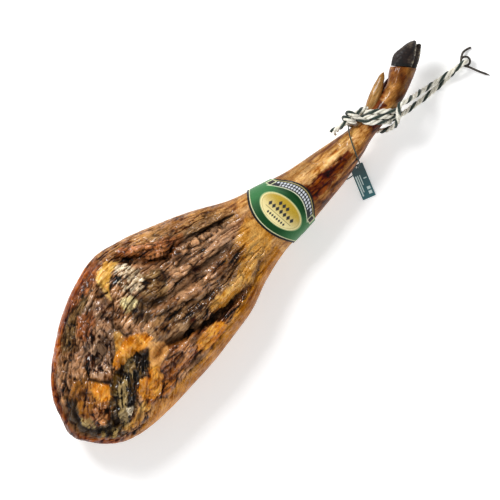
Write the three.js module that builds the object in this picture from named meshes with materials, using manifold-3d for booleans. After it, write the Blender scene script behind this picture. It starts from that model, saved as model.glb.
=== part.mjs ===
// A whole cured ham with its hoof, lying meat side up, with a paper band round the shank,
// a three-strand hanging rope tied round the ankle, a wire hook on the rope and a card tag.
// Millimetres. +X runs from the butt to the hoof, +Z is up, and the ham rests on z = 0.
import * as THREE from 'three';
import * as BufferGeometryUtils from 'three/addons/utils/BufferGeometryUtils.js';
import Module from 'manifold-3d';

const wasm = await Module();
wasm.setup();

// Ham: the far end of the butt, and cross-sections from there to the hairline of the foot
const BUTT = { x: -418.4, y: -32, z: 58 };
const STATIONS = [
  { x: -410, left: -6, right: -57, top: 82, under: 40 },
  { x: -397, left: 22, right: -77, top: 94, under: 29 },
  { x: -371, left: 52, right: -102, top: 107, under: 17 },
  { x: -333, left: 78, right: -117, top: 115, under: 7 },
  { x: -282, left: 105, right: -124, top: 120, under: 1 },
  { x: -231, left: 121, right: -126, top: 123, under: -3 },
  { x: -180, left: 127, right: -127, top: 124, under: -3 },
  { x: -128, left: 111, right: -124, top: 121, under: -1 },
  { x: -77, left: 87, right: -119, top: 115, under: 3 },
  { x: -26, left: 60, right: -105, top: 106, under: 10 },
  { x: 30, left: 24, right: -97, top: 96, under: 17 },
  { x: 77, left: 4, right: -99, top: 89, under: 22 },
  { x: 128, left: -16, right: -98, top: 84, under: 27 },
  { x: 180, left: -30, right: -96, top: 81, under: 31 },
  { x: 228, left: -43, right: -89, top: 79, under: 33 },
  { x: 250, left: -47.6, right: -84.5, top: 77.5, under: 34 },
  { x: 272, left: -49, right: -82.5, top: 75.5, under: 36.5 },
  { x: 300, left: -48.6, right: -82, top: 75.5, under: 36.5 },
  { x: 325, left: -46, right: -81.5, top: 77, under: 34 },
  { x: 342, left: -43.5, right: -77.5, top: 79, under: 33 },
  { x: 373.4, left: -30.4, right: -64.5, top: 80, under: 34 },
];
const WAIST = 0.45; // height of the widest line, as a share of the thickness
const BODY_SQUARE = 2.6; // how boxy the meat face is, where 2 is a plain ellipse
const SHANK_SQUARE = 2.2;
const FOOT_LEAN = { from: 305, slope: -0.74 }; // sections of the foot lean over towards the toes

// Furrows and ridges of the meat face, as curves seen from above; a negative depth is a ridge
const CREASES = [
  { depth: 12, width: 8, path: [[-169, 110], [-142, 76], [-114, 45], [-65, 30], [-17, 11], [24, -1]] },
  { depth: 6, width: 6.5, path: [[-72, 52], [-25, 34], [6, 21]] },
  { depth: 6, width: 6.5, path: [[-122, 16], [-67, 9], [-20, 0]] },
  { depth: 9, width: 8, path: [[-189, 36], [-168, 3], [-117, -15], [-56, -20], [10, -32]] },
  { depth: 6, width: 7, path: [[-183, -24], [-150, -38], [-90, -54]] },
  { depth: 11, width: 8, path: [[-242, -58], [-215, -49], [-182, -62], [-120, -85], [-46, -91]] },
  { depth: 5, width: 7, path: [[-218, -82], [-257, -86], [-292, -84]] },
  { depth: 9, width: 8, path: [[-205, 95], [-213, 78], [-225, 48]] },
  { depth: 9, width: 12, path: [[-255, 27], [-304, 14]] },
  { depth: 11, width: 10, path: [[-243, -28], [-270, -24], [-297, -27]] },
  { depth: 8, width: 8, path: [[-340, 66], [-377, 34], [-396, 0], [-402, -40], [-386, -82]] },
  { depth: -6, width: 7, path: [[-297, -37], [-327, -51], [-346, -78], [-367, -92]] },
  { depth: -5, width: 7, path: [[-110, 34], [-60, 21], [-10, -8]] },
  { depth: -5, width: 7, path: [[-160, -19], [-100, -33], [-30, -46]] },
];
const BONE_RING = { x: -357, y: -50, radius: 14, height: 8, width: 6.5 }; // curled edge round the hip bone
// Beads in a row over the main furrow
const LUMPS = { from: [-160, 104], to: [-92, 54], count: 5, height: 6, radius: 10 };
// Fine ridges that run along the meat, lower at the two ends of the meat face
const WRINKLE = { height: 3.2, length: 75, across: 7, sway: 60, endShare: 0.35 };
const SMOOTH_ZONES = [[28, 132], [246, 330]]; // under the band and the rope
const ZONE_FADE = 14; // distance over which the relief dies away beside a smooth zone
const CURVE_POINTS = 24;
const RING_STEP = { meat: 8.8, shank: 10.5 }; // distance between cross-sections
const EDGE_STEP = { top: 5, under: 22 }; // distance between vertices round a cross-section
const BUTT_RINGS = { count: 8, length: 24 }; // they crowd together towards the end of the butt

// Foot: two small claws behind it and the two halves of the hoof, one above the other
const DEWCLAWS = [
  { base: [303, -50, 62], tip: [347, -28.5, 66], radius: 8 },
  { base: [305, -52, 50], tip: [344, -36, 50], radius: 7 },
];
const DEWCLAW_ROUNDNESS = [1, 0.98, 0.9, 0.78, 0.62, 0.4];
const DEWCLAW_SIDES = 10;
// One half of the hoof seen from above: [back edge x, y], [sole edge x, y] and thickness
const HOOF_SECTIONS = [
  { back: [361.6, -30.2], sole: [381.6, -57.3], thick: 21 },
  { back: [377, -22.4], sole: [394.5, -52], thick: 22 },
  { back: [395.7, -24.4], sole: [405, -45.8], thick: 20 },
  { back: [409.7, -27.9], sole: [413, -40], thick: 14 },
  { back: [417.3, -32], sole: [417.9, -36], thick: 6 },
];
const HOOF_INNER_Z = { near: 58, far: 55.5 }; // the flat faces on each side of the cleft
const NEAR_HOOF_SHIFT = { root: [0.3, 0.3], tip: [0.3, 0.3] };
const FAR_HOOF_SHIFT = { root: [4.6, -6.7], tip: [2.2, -9] }; // the root slides along the end of the foot
const HOOF_ROUNDNESS = 0.8; // power of the outline of a section, where 1 is a plain ellipse
const HOOF_RINGS = 9;
const HOOF_SIDES = 16;

// Paper band: a shield over the top of the shank and a plain strip under it
const BAND = { inner: 1, outer: 2.2 }; // distances of its two faces from the skin
const BAND_LOW = { x: 54, tilt: 7, bulge: -21 }; // edge towards the butt
const BAND_HIGH = { x: 97.5, tilt: 1.7, bulge: 28.5 }; // edge towards the hoof
const BAND_SIDES = 44;
const BAND_ROWS = 3;

// Rope: three oblique turns round the ankle, a double hitch round the tail, a tail and a doubled lead
const ROPE = 8.6;
const TURNS = 3;
const ANKLE = new THREE.Vector3(287, -65.5, 55.5);
const ACROSS = new THREE.Vector3(-0.656, 0.755, 0); // the turns lie in planes that hold this and +Z
const TURN_RADII = { across: 29.1, up: 24.8 };
const TURN_PITCH = 10; // from one turn to the next, along the shank
const SLEEVE_GAP = 0.3;
const SLEEVE_SIDES = 36;
// Section of the sleeve as shares of its half length and half thickness
const SLEEVE_OUTLINE = [
  [-1, -0.45], [-1, 0.45], [-0.8, 1], [0, 1], [0.8, 1],
  [1, 0.45], [1, -0.45], [0.8, -1], [0, -1], [-0.8, -1],
];
// Section of the knot as shares of its radius and length
const KNOT_OUTLINE = [[0, 0], [0.72, 0], [1, 0.22], [0.88, 0.5], [1, 0.78], [0.72, 1], [0, 1]];
const KNOT_SIDES = 18;
const KNOT = { from: [273, -39.4, 77.5], to: [247, -36.4, 77], radius: 12.4 };
const TAIL = [[243.9, -35.4, 76.6], [237.5, -33.8, 74.4], [230.5, -32.2, 67.4], [222.5, -30.6, 57]];
// The lead passes over the turns, runs out to the hook, folds round its eye and comes back under itself
const LEAD = [
  [292.5, -89.5, 33.5], [294, -95.5, 41], [297.5, -98.5, 52], [302, -97.2, 65], [308, -92.2, 75.5],
  [316, -85.8, 82], [324.5, -82.2, 81.4], [333, -85.2, 76], [342, -88, 66], [351, -90.4, 54],
  [360, -92.6, 41.5], [369, -95, 30], [379, -98, 20], [391, -101.6, 13.8], [405, -105.4, 14],
  [419, -109.2, 18.4], [432, -112.6, 20.5], [443.6, -115.2, 20.5],
  [449.4, -116.4, 18], [451.5, -116.9, 12.6], [449.4, -116.4, 7.2], [443.6, -115.2, 4.7],
  [432, -113.2, 4.7], [419, -112, 4.7], [402, -111.4, 4.7], [384, -111, 4.6], [367, -110, 6.5],
  [351, -107.5, 11.5], [336, -104, 17], [321, -98, 22.5], [308, -91, 26.5], [298, -86.4, 29.4],
];
const TUBE_STEPS = { tail: 6, lead: 78, hook: 52, string: 40 };
const TUBE_SEGMENTS = 4;

// Hook: one wire with an eye that the rope passes through, an arm that curls away and a straight pin
const WIRE = 3;
const EYE = { x: 450.4, y: -116.1, radius: 7.4, from: 113, to: 559, low: 10.8, high: 14.1 };
const HOOK_ARM = [[474, -108.4, 1.8], [467, -105.2, 3.4], [459.5, -104, 6], [453.2, -106, 8.6]];
const HOOK_PIN = [[447.6, -128, 10.9], [453.4, -145, 6.3], [460.4, -161.4, 1.8]];
const EYE_POINTS = 12;

// Tag: a card on a string that runs from the knot over the shank, through the card and back underneath
const STRING = 1.6;
const STRING_PATH = [
  [244.6, -41.4, 80.2], [239, -47.6, 80.8], [231.8, -57, 81.4], [225.2, -68, 81.8], [219, -79.6, 78.8],
  [214.8, -88.4, 71.2], [212.2, -94.6, 58.2], [209, -96.4, 38], [206.6, -96.6, 22], [204.8, -97.8, 15.6],
  [201, -99.4, 12.4], [195.5, -100.2, 12], [190, -99.5, 14.5], [184, -97.8, 19], [178, -94.2, 26],
  [175.6, -84, 33.4],
];
const TAG = { width: 22.5, length: 60, thick: 0.7, hole: 2.1, holeInset: 4.5, holeSegments: 6 };
const TAG_FOOT = new THREE.Vector3(183.1, -143.7, 1.2); // middle of the edge that lies on the table
const TAG_TOP = new THREE.Vector3(207.7, -92.8, 20);

const COLOURS = {
  ham: 0x7a4520,
  hoof: 0x2e2824,
  band: 0x1f4a2a,
  rope: 0xcfc7a4,
  wire: 0x3a3733,
  tag: 0x14393b,
  string: 0x1e3d30,
};

function mesh(name, geometry, colour, roughness, metalness = 0) {
  const material = new THREE.MeshStandardMaterial({ color: colour, roughness, metalness });
  const made = new THREE.Mesh(geometry, material);
  made.name = name;
  return made;
}

function geometryFrom(points, triangles) {
  const geometry = new THREE.BufferGeometry();
  geometry.setAttribute('position', new THREE.Float32BufferAttribute(points.flat(), 3));
  geometry.setIndex(triangles.flat());
  geometry.computeVertexNormals();
  return geometry;
}

const vector = (point) => new THREE.Vector3(...point);
const lerp = THREE.MathUtils.lerp;
const smooth = THREE.MathUtils.smoothstep;
const signedPower = (value, power) => Math.sign(value) * Math.abs(value) ** power;

// The butt closes like the end of an egg, so the sections are blended over the root of the distance to it
const KNOTS = [{ ...BUTT, left: BUTT.y, right: BUTT.y, top: BUTT.z, under: BUTT.z }, ...STATIONS];
const rootDistance = (x) => Math.sqrt(Math.max(0, x - BUTT.x));

function slope(key, i) {
  const before = KNOTS[Math.max(0, i - 1)];
  const after = KNOTS[Math.min(KNOTS.length - 1, i + 1)];
  return (after[key] - before[key]) / (rootDistance(after.x) - rootDistance(before.x));
}

function blended(key, x) {
  let i = KNOTS.findIndex((knot) => knot.x > x) - 1;
  if (i < 0) i = KNOTS.length - 2;
  const start = rootDistance(KNOTS[i].x);
  const span = rootDistance(KNOTS[i + 1].x) - start;
  const t = (rootDistance(x) - start) / span;
  const rise = (3 - 2 * t) * t * t;
  const bend = t * (1 - t) * span;
  return lerp(KNOTS[i][key], KNOTS[i + 1][key], rise)
    + bend * ((1 - t) * slope(key, i) - t * slope(key, i + 1));
}

function section(x) {
  const left = blended('left', x);
  const right = blended('right', x);
  const top = blended('top', x);
  const under = blended('under', x);
  const waist = lerp(under, top, WAIST);
  const middle = (left + right) / 2;
  const half = (left - right) / 2;
  return { x, middle, half, waist, rise: top - waist, drop: waist - under };
}

const leanAt = (x) => FOOT_LEAN.slope * smooth(x, FOOT_LEAN.from, STATIONS.at(-1).x) ** 2;

// A point of the smooth skin: angle 0 is the left edge, 90 degrees the top, and out stands off the skin
function skin(x, angle, out = 0) {
  const cut = section(x);
  const upper = Math.sin(angle) >= 0;
  const square = upper ? lerp(BODY_SQUARE, SHANK_SQUARE, smooth(x, -120, 60)) : SHANK_SQUARE;
  const share = signedPower(Math.cos(angle), 2 / square);
  const aside = (cut.half + out) * share;
  const height = ((upper ? cut.rise : cut.drop) + out) * signedPower(Math.sin(angle), 2 / square);
  return { x: x + leanAt(x) * aside, y: cut.middle + aside, z: cut.waist + height, share };
}

// Smooth noise between 0 and 1 on a grid of fixed pseudo-random values
function gridValue(i, j) {
  const value = Math.sin(i * 127.1 + j * 311.7) * 43758.5453;
  return value - Math.floor(value);
}

function noise(a, b) {
  const i = Math.floor(a);
  const j = Math.floor(b);
  const s = smooth(a - i, 0, 1);
  const t = smooth(b - j, 0, 1);
  const near = lerp(gridValue(i, j), gridValue(i + 1, j), s);
  const far = lerp(gridValue(i, j + 1), gridValue(i + 1, j + 1), s);
  return lerp(near, far, t);
}

const creaseCurves = CREASES.map(({ path }) => {
  const curve = new THREE.CatmullRomCurve3(path.map(([x, y]) => new THREE.Vector3(x, y, 0)));
  return curve.getPoints(CURVE_POINTS);
});

function creaseHeight(crease, curve, x, y) {
  const here = new THREE.Vector3(x, y, 0);
  const nearest = new THREE.Vector3();
  let best = Infinity;
  let along = 0;
  for (let i = 0; i < CURVE_POINTS; i += 1) {
    const piece = new THREE.Line3(curve[i], curve[i + 1]);
    piece.closestPointToPoint(here, true, nearest);
    const distance = nearest.distanceTo(here);
    if (distance < best) {
      best = distance;
      along = (i + piece.closestPointToPointParameter(here, true)) / CURVE_POINTS;
    }
  }
  const ends = smooth(along, -0.02, 0.15) * (1 - smooth(along, 0.85, 1.02));
  return -crease.depth * ends * Math.exp(-((best / crease.width) ** 2));
}

function lumpHeight(x, y) {
  let height = 0;
  for (let i = 0; i < LUMPS.count; i += 1) {
    const [beadX, beadY] = LUMPS.from.map((from, axis) => lerp(from, LUMPS.to[axis], i / (LUMPS.count - 1)));
    const away = Math.hypot(x - beadX, y - beadY);
    height = Math.max(height, LUMPS.height * (1 - smooth(away, 0, LUMPS.radius)));
  }
  return height;
}

function ringHeight(x, y) {
  const away = Math.hypot(x - BONE_RING.x, y - BONE_RING.y) - BONE_RING.radius;
  return BONE_RING.height * Math.exp(-((away / BONE_RING.width) ** 2));
}

function wrinkleHeight(x, share) {
  const across = share * WRINKLE.across + noise(x / WRINKLE.sway, share * 3);
  const fold = Math.abs(2 * noise(x / WRINKLE.length, across) - 1);
  const onMeat = smooth(x, -400, -360) * (1 - smooth(x, 0, 60));
  return WRINKLE.height * (fold - 0.5) * lerp(WRINKLE.endShare, 1, onMeat);
}

// How far the meat face stands above or below the smooth skin
function relief(x, y, share) {
  let height = wrinkleHeight(x, share) + lumpHeight(x, y) + ringHeight(x, y);
  CREASES.forEach((crease, i) => {
    height += creaseHeight(crease, creaseCurves[i], x, y);
  });
  for (const [from, to] of SMOOTH_ZONES) {
    height *= 1 - smooth(x, from - ZONE_FADE, from) * (1 - smooth(x, to, to + ZONE_FADE));
  }
  return height;
}

function hamVertex(x, angle) {
  const point = skin(x, angle);
  const facesUp = smooth(Math.sin(angle), 0.08, 0.42);
  const lift = facesUp > 0 ? facesUp * relief(point.x, point.y, point.share) : 0;
  const height = point.z + lift;
  return [point.x, point.y, Math.max(0, height)];
}

function ringPlaces() {
  const places = [];
  for (let i = 1; i <= BUTT_RINGS.count; i += 1) {
    places.push(BUTT.x + BUTT_RINGS.length * (i / BUTT_RINGS.count) ** 2);
  }
  const meatEnd = SMOOTH_ZONES[0][0];
  const footEnd = STATIONS.at(-1).x;
  const fill = (from, to, step) => {
    const count = Math.round((to - from) / step);
    for (let i = 1; i <= count; i += 1) places.push(lerp(from, to, i / count));
  };
  fill(BUTT.x + BUTT_RINGS.length, meatEnd, RING_STEP.meat);
  fill(meatEnd, footEnd, RING_STEP.shank);
  return places;
}

// Angles of the vertices of one section: close together on the meat face, far apart under it
function ringAngles(x) {
  const cut = section(x);
  const arc = (height) => Math.PI * Math.hypot(cut.half, height) / Math.SQRT2;
  const topCount = Math.max(10, Math.round(arc(cut.rise) / EDGE_STEP.top));
  const underCount = Math.max(6, Math.round(arc(cut.drop) / EDGE_STEP.under));
  const angles = [];
  for (let i = 0; i < topCount; i += 1) angles.push(Math.PI * i / topCount);
  for (let i = 0; i < underCount; i += 1) angles.push(Math.PI * (1 + i / underCount));
  return angles;
}

// Joins two neighbouring rings, whose vertex counts may differ, by always taking the smaller next angle
function zip(near, far) {
  const triangles = [];
  let i = 0;
  let j = 0;
  const angleOf = (ring, k) => (k < ring.angles.length ? ring.angles[k] : 2 * Math.PI);
  const indexOf = (ring, k) => ring.first + (k % ring.angles.length);
  while (i < near.angles.length || j < far.angles.length) {
    const nearNext = i < near.angles.length ? angleOf(near, i + 1) : Infinity;
    const farNext = j < far.angles.length ? angleOf(far, j + 1) : Infinity;
    if (nearNext <= farNext) {
      triangles.push([indexOf(near, i), indexOf(near, i + 1), indexOf(far, j)]);
      i += 1;
    } else {
      triangles.push([indexOf(near, i), indexOf(far, j + 1), indexOf(far, j)]);
      j += 1;
    }
  }
  return triangles;
}

// Closes a ring with a fan of triangles from one vertex
function fan(ring, tip, outward) {
  return ring.angles.map((_, k) => {
    const here = ring.first + k;
    const next = ring.first + ((k + 1) % ring.angles.length);
    return outward ? [here, next, tip] : [next, here, tip];
  });
}

function loft(rings, startPoint, endPoint) {
  const points = [startPoint];
  const laid = rings.map(({ angles, at }) => {
    const first = points.length;
    angles.forEach((angle) => points.push(at(angle)));
    return { first, angles };
  });
  const triangles = fan(laid[0], 0, false);
  for (let k = 0; k + 1 < laid.length; k += 1) triangles.push(...zip(laid[k], laid[k + 1]));
  points.push(endPoint);
  triangles.push(...fan(laid.at(-1), points.length - 1, true));
  return geometryFrom(points, triangles);
}

function evenAngles(count) {
  return Array.from({ length: count }, (_, k) => 2 * Math.PI * k / count);
}

function hamBody() {
  const rings = ringPlaces().map((x) => ({ angles: ringAngles(x), at: (angle) => hamVertex(x, angle) }));
  const end = section(STATIONS.at(-1).x);
  return loft(rings, [BUTT.x, BUTT.y, BUTT.z], [end.x, end.middle, end.waist]);
}

function dewclaw({ base, tip, radius }) {
  const axis = vector(tip).sub(vector(base));
  const side = new THREE.Vector3(-axis.y, axis.x, 0).normalize();
  const up = axis.clone().normalize().cross(side);
  const count = DEWCLAW_ROUNDNESS.length;
  const rings = DEWCLAW_ROUNDNESS.map((share, k) => ({
    angles: evenAngles(DEWCLAW_SIDES),
    at: (angle) => vector(base).addScaledVector(axis, k / count)
      .addScaledVector(side, radius * share * Math.cos(angle))
      .addScaledVector(up, radius * share * Math.sin(angle))
      .toArray(),
  }));
  return loft(rings, base, tip);
}

function solidFrom(geometry) {
  const plain = geometry.clone().deleteAttribute('normal').deleteAttribute('uv');
  const merged = BufferGeometryUtils.mergeVertices(plain);
  const vertProperties = new Float32Array(merged.attributes.position.array);
  const triVerts = new Uint32Array(merged.index.array);
  return new wasm.Manifold(new wasm.Mesh({ numProp: 3, vertProperties, triVerts }));
}

function joined(geometries) {
  const result = geometries.map(solidFrom).reduce((sum, solid) => sum.add(solid)).getMesh();
  const geometry = new THREE.BufferGeometry();
  geometry.setAttribute('position', new THREE.BufferAttribute(result.vertProperties, 3));
  geometry.setIndex(new THREE.BufferAttribute(result.triVerts, 1));
  geometry.computeVertexNormals();
  return geometry;
}

// Value of a hoof curve at t from 0 to 1, through the hand-set sections
function hoofCurve(pick) {
  return new THREE.CatmullRomCurve3(HOOF_SECTIONS.map((cut) => new THREE.Vector3(...pick(cut))));
}

function hoofHalf(innerZ, direction, shift) {
  const backCurve = hoofCurve((cut) => [...cut.back, cut.thick]);
  const soleCurve = hoofCurve((cut) => [...cut.sole, cut.thick]);
  const rings = [];
  for (let k = 0; k < HOOF_RINGS; k += 1) {
    const back = backCurve.getPoint(k / (HOOF_RINGS - 1));
    const sole = soleCurve.getPoint(k / (HOOF_RINGS - 1));
    const middle = back.clone().add(sole).multiplyScalar(0.5);
    const half = back.clone().sub(middle);
    const thick = back.z;
    const moved = shift.root.map((value, axis) => lerp(value, shift.tip[axis], k / (HOOF_RINGS - 1)));
    rings.push({
      angles: evenAngles(HOOF_SIDES),
      at: (angle) => {
        const aside = signedPower(Math.cos(angle), HOOF_ROUNDNESS);
        const lift = (1 + direction * signedPower(Math.sin(angle), HOOF_ROUNDNESS)) / 2;
        return [
          middle.x + half.x * aside + moved[0],
          middle.y + half.y * aside + moved[1],
          direction > 0 ? innerZ + thick * lift : innerZ - thick * (1 - lift),
        ];
      },
    });
  }
  if (direction < 0) rings.forEach((ring) => { ring.at = mirrored(ring.at); });
  const first = rings[0].at;
  const last = rings.at(-1).at;
  return loft(rings, between(first(0), first(Math.PI)), between(last(0), last(Math.PI)));
}

const mirrored = (at) => (angle) => at(-angle);
const between = (a, b) => a.map((value, k) => (value + b[k]) / 2);

// The band follows the skin, so each of its points is a section angle and a place along the shank
function bandPoint(angle, row, out) {
  const { share } = skin(BAND_LOW.x, angle);
  const onTop = Math.sin(angle) > 0 ? 1 - share * share : 0;
  const [low, high] = [BAND_LOW, BAND_HIGH].map((edge) => edge.x + edge.tilt * share + edge.bulge * onTop);
  const point = skin(lerp(low, high, row / BAND_ROWS), angle, out);
  return [point.x, point.y, point.z];
}

function bandLabel() {
  const profile = [];
  for (let row = 0; row <= BAND_ROWS; row += 1) profile.push([row, BAND.outer]);
  for (let row = BAND_ROWS; row >= 0; row -= 1) profile.push([row, BAND.inner]);
  return hoop(BAND_SIDES, profile.map(([row, out]) => (angle) => bandPoint(angle, row, out)));
}

// A closed hoop: each entry of the profile gives its own point for every angle
function hoop(sides, profile) {
  const points = [];
  const triangles = [];
  const count = profile.length;
  evenAngles(sides).forEach((angle, i) => {
    profile.forEach((at, k) => {
      points.push(at(angle));
      const here = i * count + k;
      const beside = i * count + ((k + 1) % count);
      const next = ((i + 1) % sides) * count + k;
      const corner = ((i + 1) % sides) * count + ((k + 1) % count);
      triangles.push([here, next, beside], [beside, next, corner]);
    });
  });
  return geometryFrom(points, triangles);
}

// The turns round the ankle as one sleeve with rounded edges
function ropeSleeve() {
  const halfLength = ((TURNS - 1) * TURN_PITCH + ROPE / ACROSS.y) / 2;
  const halfThick = ROPE / 2 - SLEEVE_GAP;
  const profile = SLEEVE_OUTLINE.map(([along, out]) => (angle) => {
    const reach = out * halfThick;
    return ANKLE.clone()
      .addScaledVector(ACROSS, (TURN_RADII.across + reach / ACROSS.y) * Math.cos(angle))
      .add(new THREE.Vector3(along * halfLength, 0, (TURN_RADII.up + reach) * Math.sin(angle)))
      .toArray();
  });
  return hoop(SLEEVE_SIDES, profile);
}

function knotSolid() {
  const axis = vector(KNOT.to).sub(vector(KNOT.from));
  const length = axis.length();
  const profile = KNOT_OUTLINE.map(([out, along]) => new THREE.Vector2(out * KNOT.radius, along * length));
  const geometry = new THREE.LatheGeometry(profile, KNOT_SIDES);
  const turn = new THREE.Quaternion().setFromUnitVectors(new THREE.Vector3(0, 1, 0), axis.normalize());
  return geometry.applyQuaternion(turn).translate(...KNOT.from);
}

function tube(points, diameter, steps) {
  const outline = new THREE.Shape();
  outline.absarc(0, 0, diameter / 2, 0, 2 * Math.PI);
  const extrudePath = new THREE.CatmullRomCurve3(points.map(vector));
  return new THREE.ExtrudeGeometry(outline, { steps, extrudePath, curveSegments: TUBE_SEGMENTS });
}

function hookPath() {
  const eye = [];
  for (let k = 0; k <= EYE_POINTS; k += 1) {
    const t = k / EYE_POINTS;
    const angle = THREE.MathUtils.degToRad(lerp(EYE.from, EYE.to, t));
    eye.push([
      EYE.x + EYE.radius * Math.cos(angle),
      EYE.y + EYE.radius * Math.sin(angle),
      lerp(EYE.low, EYE.high, smooth(t, 0.1, 0.9)),
    ]);
  }
  return [...HOOK_ARM, ...eye, ...HOOK_PIN];
}

function tagCard() {
  const card = new THREE.Shape();
  card.moveTo(-TAG.width / 2, 0);
  card.lineTo(TAG.width / 2, 0);
  card.lineTo(TAG.width / 2, TAG.length);
  card.lineTo(-TAG.width / 2, TAG.length);
  card.closePath();
  const hole = new THREE.Path();
  hole.absarc(0, TAG.length - TAG.holeInset, TAG.hole, 0, 2 * Math.PI, true);
  card.holes.push(hole);
  const settings = { depth: TAG.thick, bevelEnabled: false, curveSegments: TAG.holeSegments };
  const geometry = new THREE.ExtrudeGeometry(card, settings);
  const upSlope = TAG_TOP.clone().sub(TAG_FOOT).normalize();
  const sideways = new THREE.Vector3(-upSlope.y, upSlope.x, 0).normalize().negate();
  const face = sideways.clone().cross(upSlope);
  const frame = new THREE.Matrix4().makeBasis(sideways, upSlope, face).setPosition(TAG_FOOT);
  return geometry.applyMatrix4(frame);
}

const ham = new THREE.Group();
ham.add(mesh('ham', joined([hamBody(), ...DEWCLAWS.map(dewclaw)]), COLOURS.ham, 0.5));
ham.add(mesh('hoof_near', hoofHalf(HOOF_INNER_Z.near, 1, NEAR_HOOF_SHIFT), COLOURS.hoof, 0.7));
ham.add(mesh('hoof_far', hoofHalf(HOOF_INNER_Z.far, -1, FAR_HOOF_SHIFT), COLOURS.hoof, 0.7));
ham.add(mesh('label_band', bandLabel(), COLOURS.band, 0.45));
ham.add(mesh('rope_turns', joined([ropeSleeve(), knotSolid()]), COLOURS.rope, 0.9));
ham.add(mesh('rope_tail', tube(TAIL, ROPE, TUBE_STEPS.tail), COLOURS.rope, 0.9));
ham.add(mesh('rope_lead', tube(LEAD, ROPE, TUBE_STEPS.lead), COLOURS.rope, 0.9));
ham.add(mesh('hook', tube(hookPath(), WIRE, TUBE_STEPS.hook), COLOURS.wire, 0.4, 0.9));
ham.add(mesh('tag_string', tube(STRING_PATH, STRING, TUBE_STEPS.string), COLOURS.string, 0.8));
ham.add(mesh('tag', tagCard(), COLOURS.tag, 0.5));

export default ham;
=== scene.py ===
# A whole cured ham lying meat side up, with its hoof, a paper band, a rope with a hook, and a tag.
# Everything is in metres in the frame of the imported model: +X runs to the hoof and +Z is up.
import math

import bpy
import numpy as np
from mathutils import Matrix, Vector


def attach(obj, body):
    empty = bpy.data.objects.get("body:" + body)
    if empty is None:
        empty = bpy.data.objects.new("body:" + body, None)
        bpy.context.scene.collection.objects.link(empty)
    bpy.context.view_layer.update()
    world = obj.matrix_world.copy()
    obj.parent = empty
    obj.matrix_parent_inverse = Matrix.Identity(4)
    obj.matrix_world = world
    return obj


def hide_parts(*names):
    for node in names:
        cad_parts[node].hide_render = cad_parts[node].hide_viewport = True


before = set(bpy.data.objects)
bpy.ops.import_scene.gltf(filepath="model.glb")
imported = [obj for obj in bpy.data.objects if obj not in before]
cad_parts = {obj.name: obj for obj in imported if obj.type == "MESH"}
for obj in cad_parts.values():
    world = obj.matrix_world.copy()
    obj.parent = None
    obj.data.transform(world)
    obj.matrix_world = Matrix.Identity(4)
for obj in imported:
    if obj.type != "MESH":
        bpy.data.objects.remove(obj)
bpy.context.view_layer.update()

# Camera: it looks straight down on the meat face, and is turned so that the hoof points up to the right.
# A long lens from five metres keeps the butt and the hoof at nearly the same scale.
CAMERA_PLACE = (-0.0076, -0.0536, 5.055)
CAMERA_RIGHT = Vector((0.6561, -0.7547, 0.0))
CAMERA_UP = Vector((0.7547, 0.6561, 0.0))
camera_lens = bpy.data.cameras.new("camera")
camera_lens.lens = 225
camera_lens.sensor_width = 36
camera = bpy.data.objects.new("camera", camera_lens)
camera.matrix_world = (
    Matrix.Translation(CAMERA_PLACE)
    @ Matrix((CAMERA_RIGHT, CAMERA_UP, CAMERA_RIGHT.cross(CAMERA_UP))).transposed().to_4x4()
)
bpy.context.collection.objects.link(camera)
bpy.context.scene.camera = camera
bpy.context.scene.view_settings.view_transform = "Standard"

# Rope: one length of soft three-strand cotton, two cream strands and one dark green. From its frayed
# tail it runs through its own knot, three times round the ankle, round the tail and once more under
# the ankle, over the turns and out to the hook, then back under itself to the ankle.
MM = 0.001
ROPE_THICKNESS = 8.6
ROPE_LAY = 31.0
ROPE_STEP = 1.3
GREEN_STRAND = 2
GREEN_FULLNESS = 1.18
STRAND_SHARE = {2: 0.5, 3: 0.464}  # how thick each strand is beside a rope of two or of three
FRAY = {"spread": 1.2, "length": 14.0}
ROPE_TAIL = [(222.5, -30.6, 57.0), (226.5, -31.4, 63.0), (231.5, -32.4, 70.0), (238.0, -34.0, 75.2)]
ROPE_CORE = [(247.0, -35.6, 77.0), (258.0, -36.6, 77.3), (267.5, -38.4, 77.2), (276.0, -41.0, 74.0)]
ANKLE = np.array([287.0, -65.5, 55.5])
ACROSS_ANKLE = np.array([-0.656, 0.755, 0.0])
TURN_REACH = 29.1
TURN_HEIGHT = 24.8
TURN_PITCH = 11.5
TURN_ANGLES = (20, -1010)
KNOT_RADIUS = 8.6
KNOT_MIDDLE = (-36.2, 77.2)
KNOT_ANGLES = (150, -345)
KNOT_X = (264.0, 249.5)
ANGLE_STEP = 30
UNDER_ANKLE = [(249.0, -40.6, 57.0), (253.0, -49.0, 38.0), (261.0, -65.0, 28.4), (270.0, -80.5, 33.0)]
HITCH = [
    (277.0, -89.0, 42.0), (285.0, -94.6, 50.5), (294.0, -97.6, 59.0), (302.5, -96.4, 68.0),
    (309.5, -91.4, 76.5),
]
LEAD_OUT = [
    (316.0, -85.8, 82.0), (324.5, -82.2, 81.4), (333.0, -85.2, 76.0), (342.0, -88.0, 66.0),
    (351.0, -90.4, 54.0), (360.0, -92.6, 41.5), (369.0, -95.0, 30.0), (379.0, -98.0, 20.0),
    (391.0, -101.6, 13.8), (405.0, -105.4, 14.0), (419.0, -109.2, 18.4), (432.0, -112.6, 20.5),
    (443.6, -115.2, 20.5),
]
LEAD_BACK = [
    (449.4, -116.4, 18.0), (451.5, -116.9, 12.6), (449.4, -116.4, 7.2), (443.6, -115.2, 4.7),
    (432.0, -113.2, 4.7), (419.0, -112.0, 4.7), (402.0, -111.0, 4.7), (384.0, -108.6, 4.6),
    (367.0, -105.8, 5.5), (351.0, -102.6, 8.5), (336.0, -99.0, 15.0), (321.0, -95.6, 21.5),
    (308.0, -90.6, 26.5), (298.0, -86.4, 29.4),
]


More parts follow.
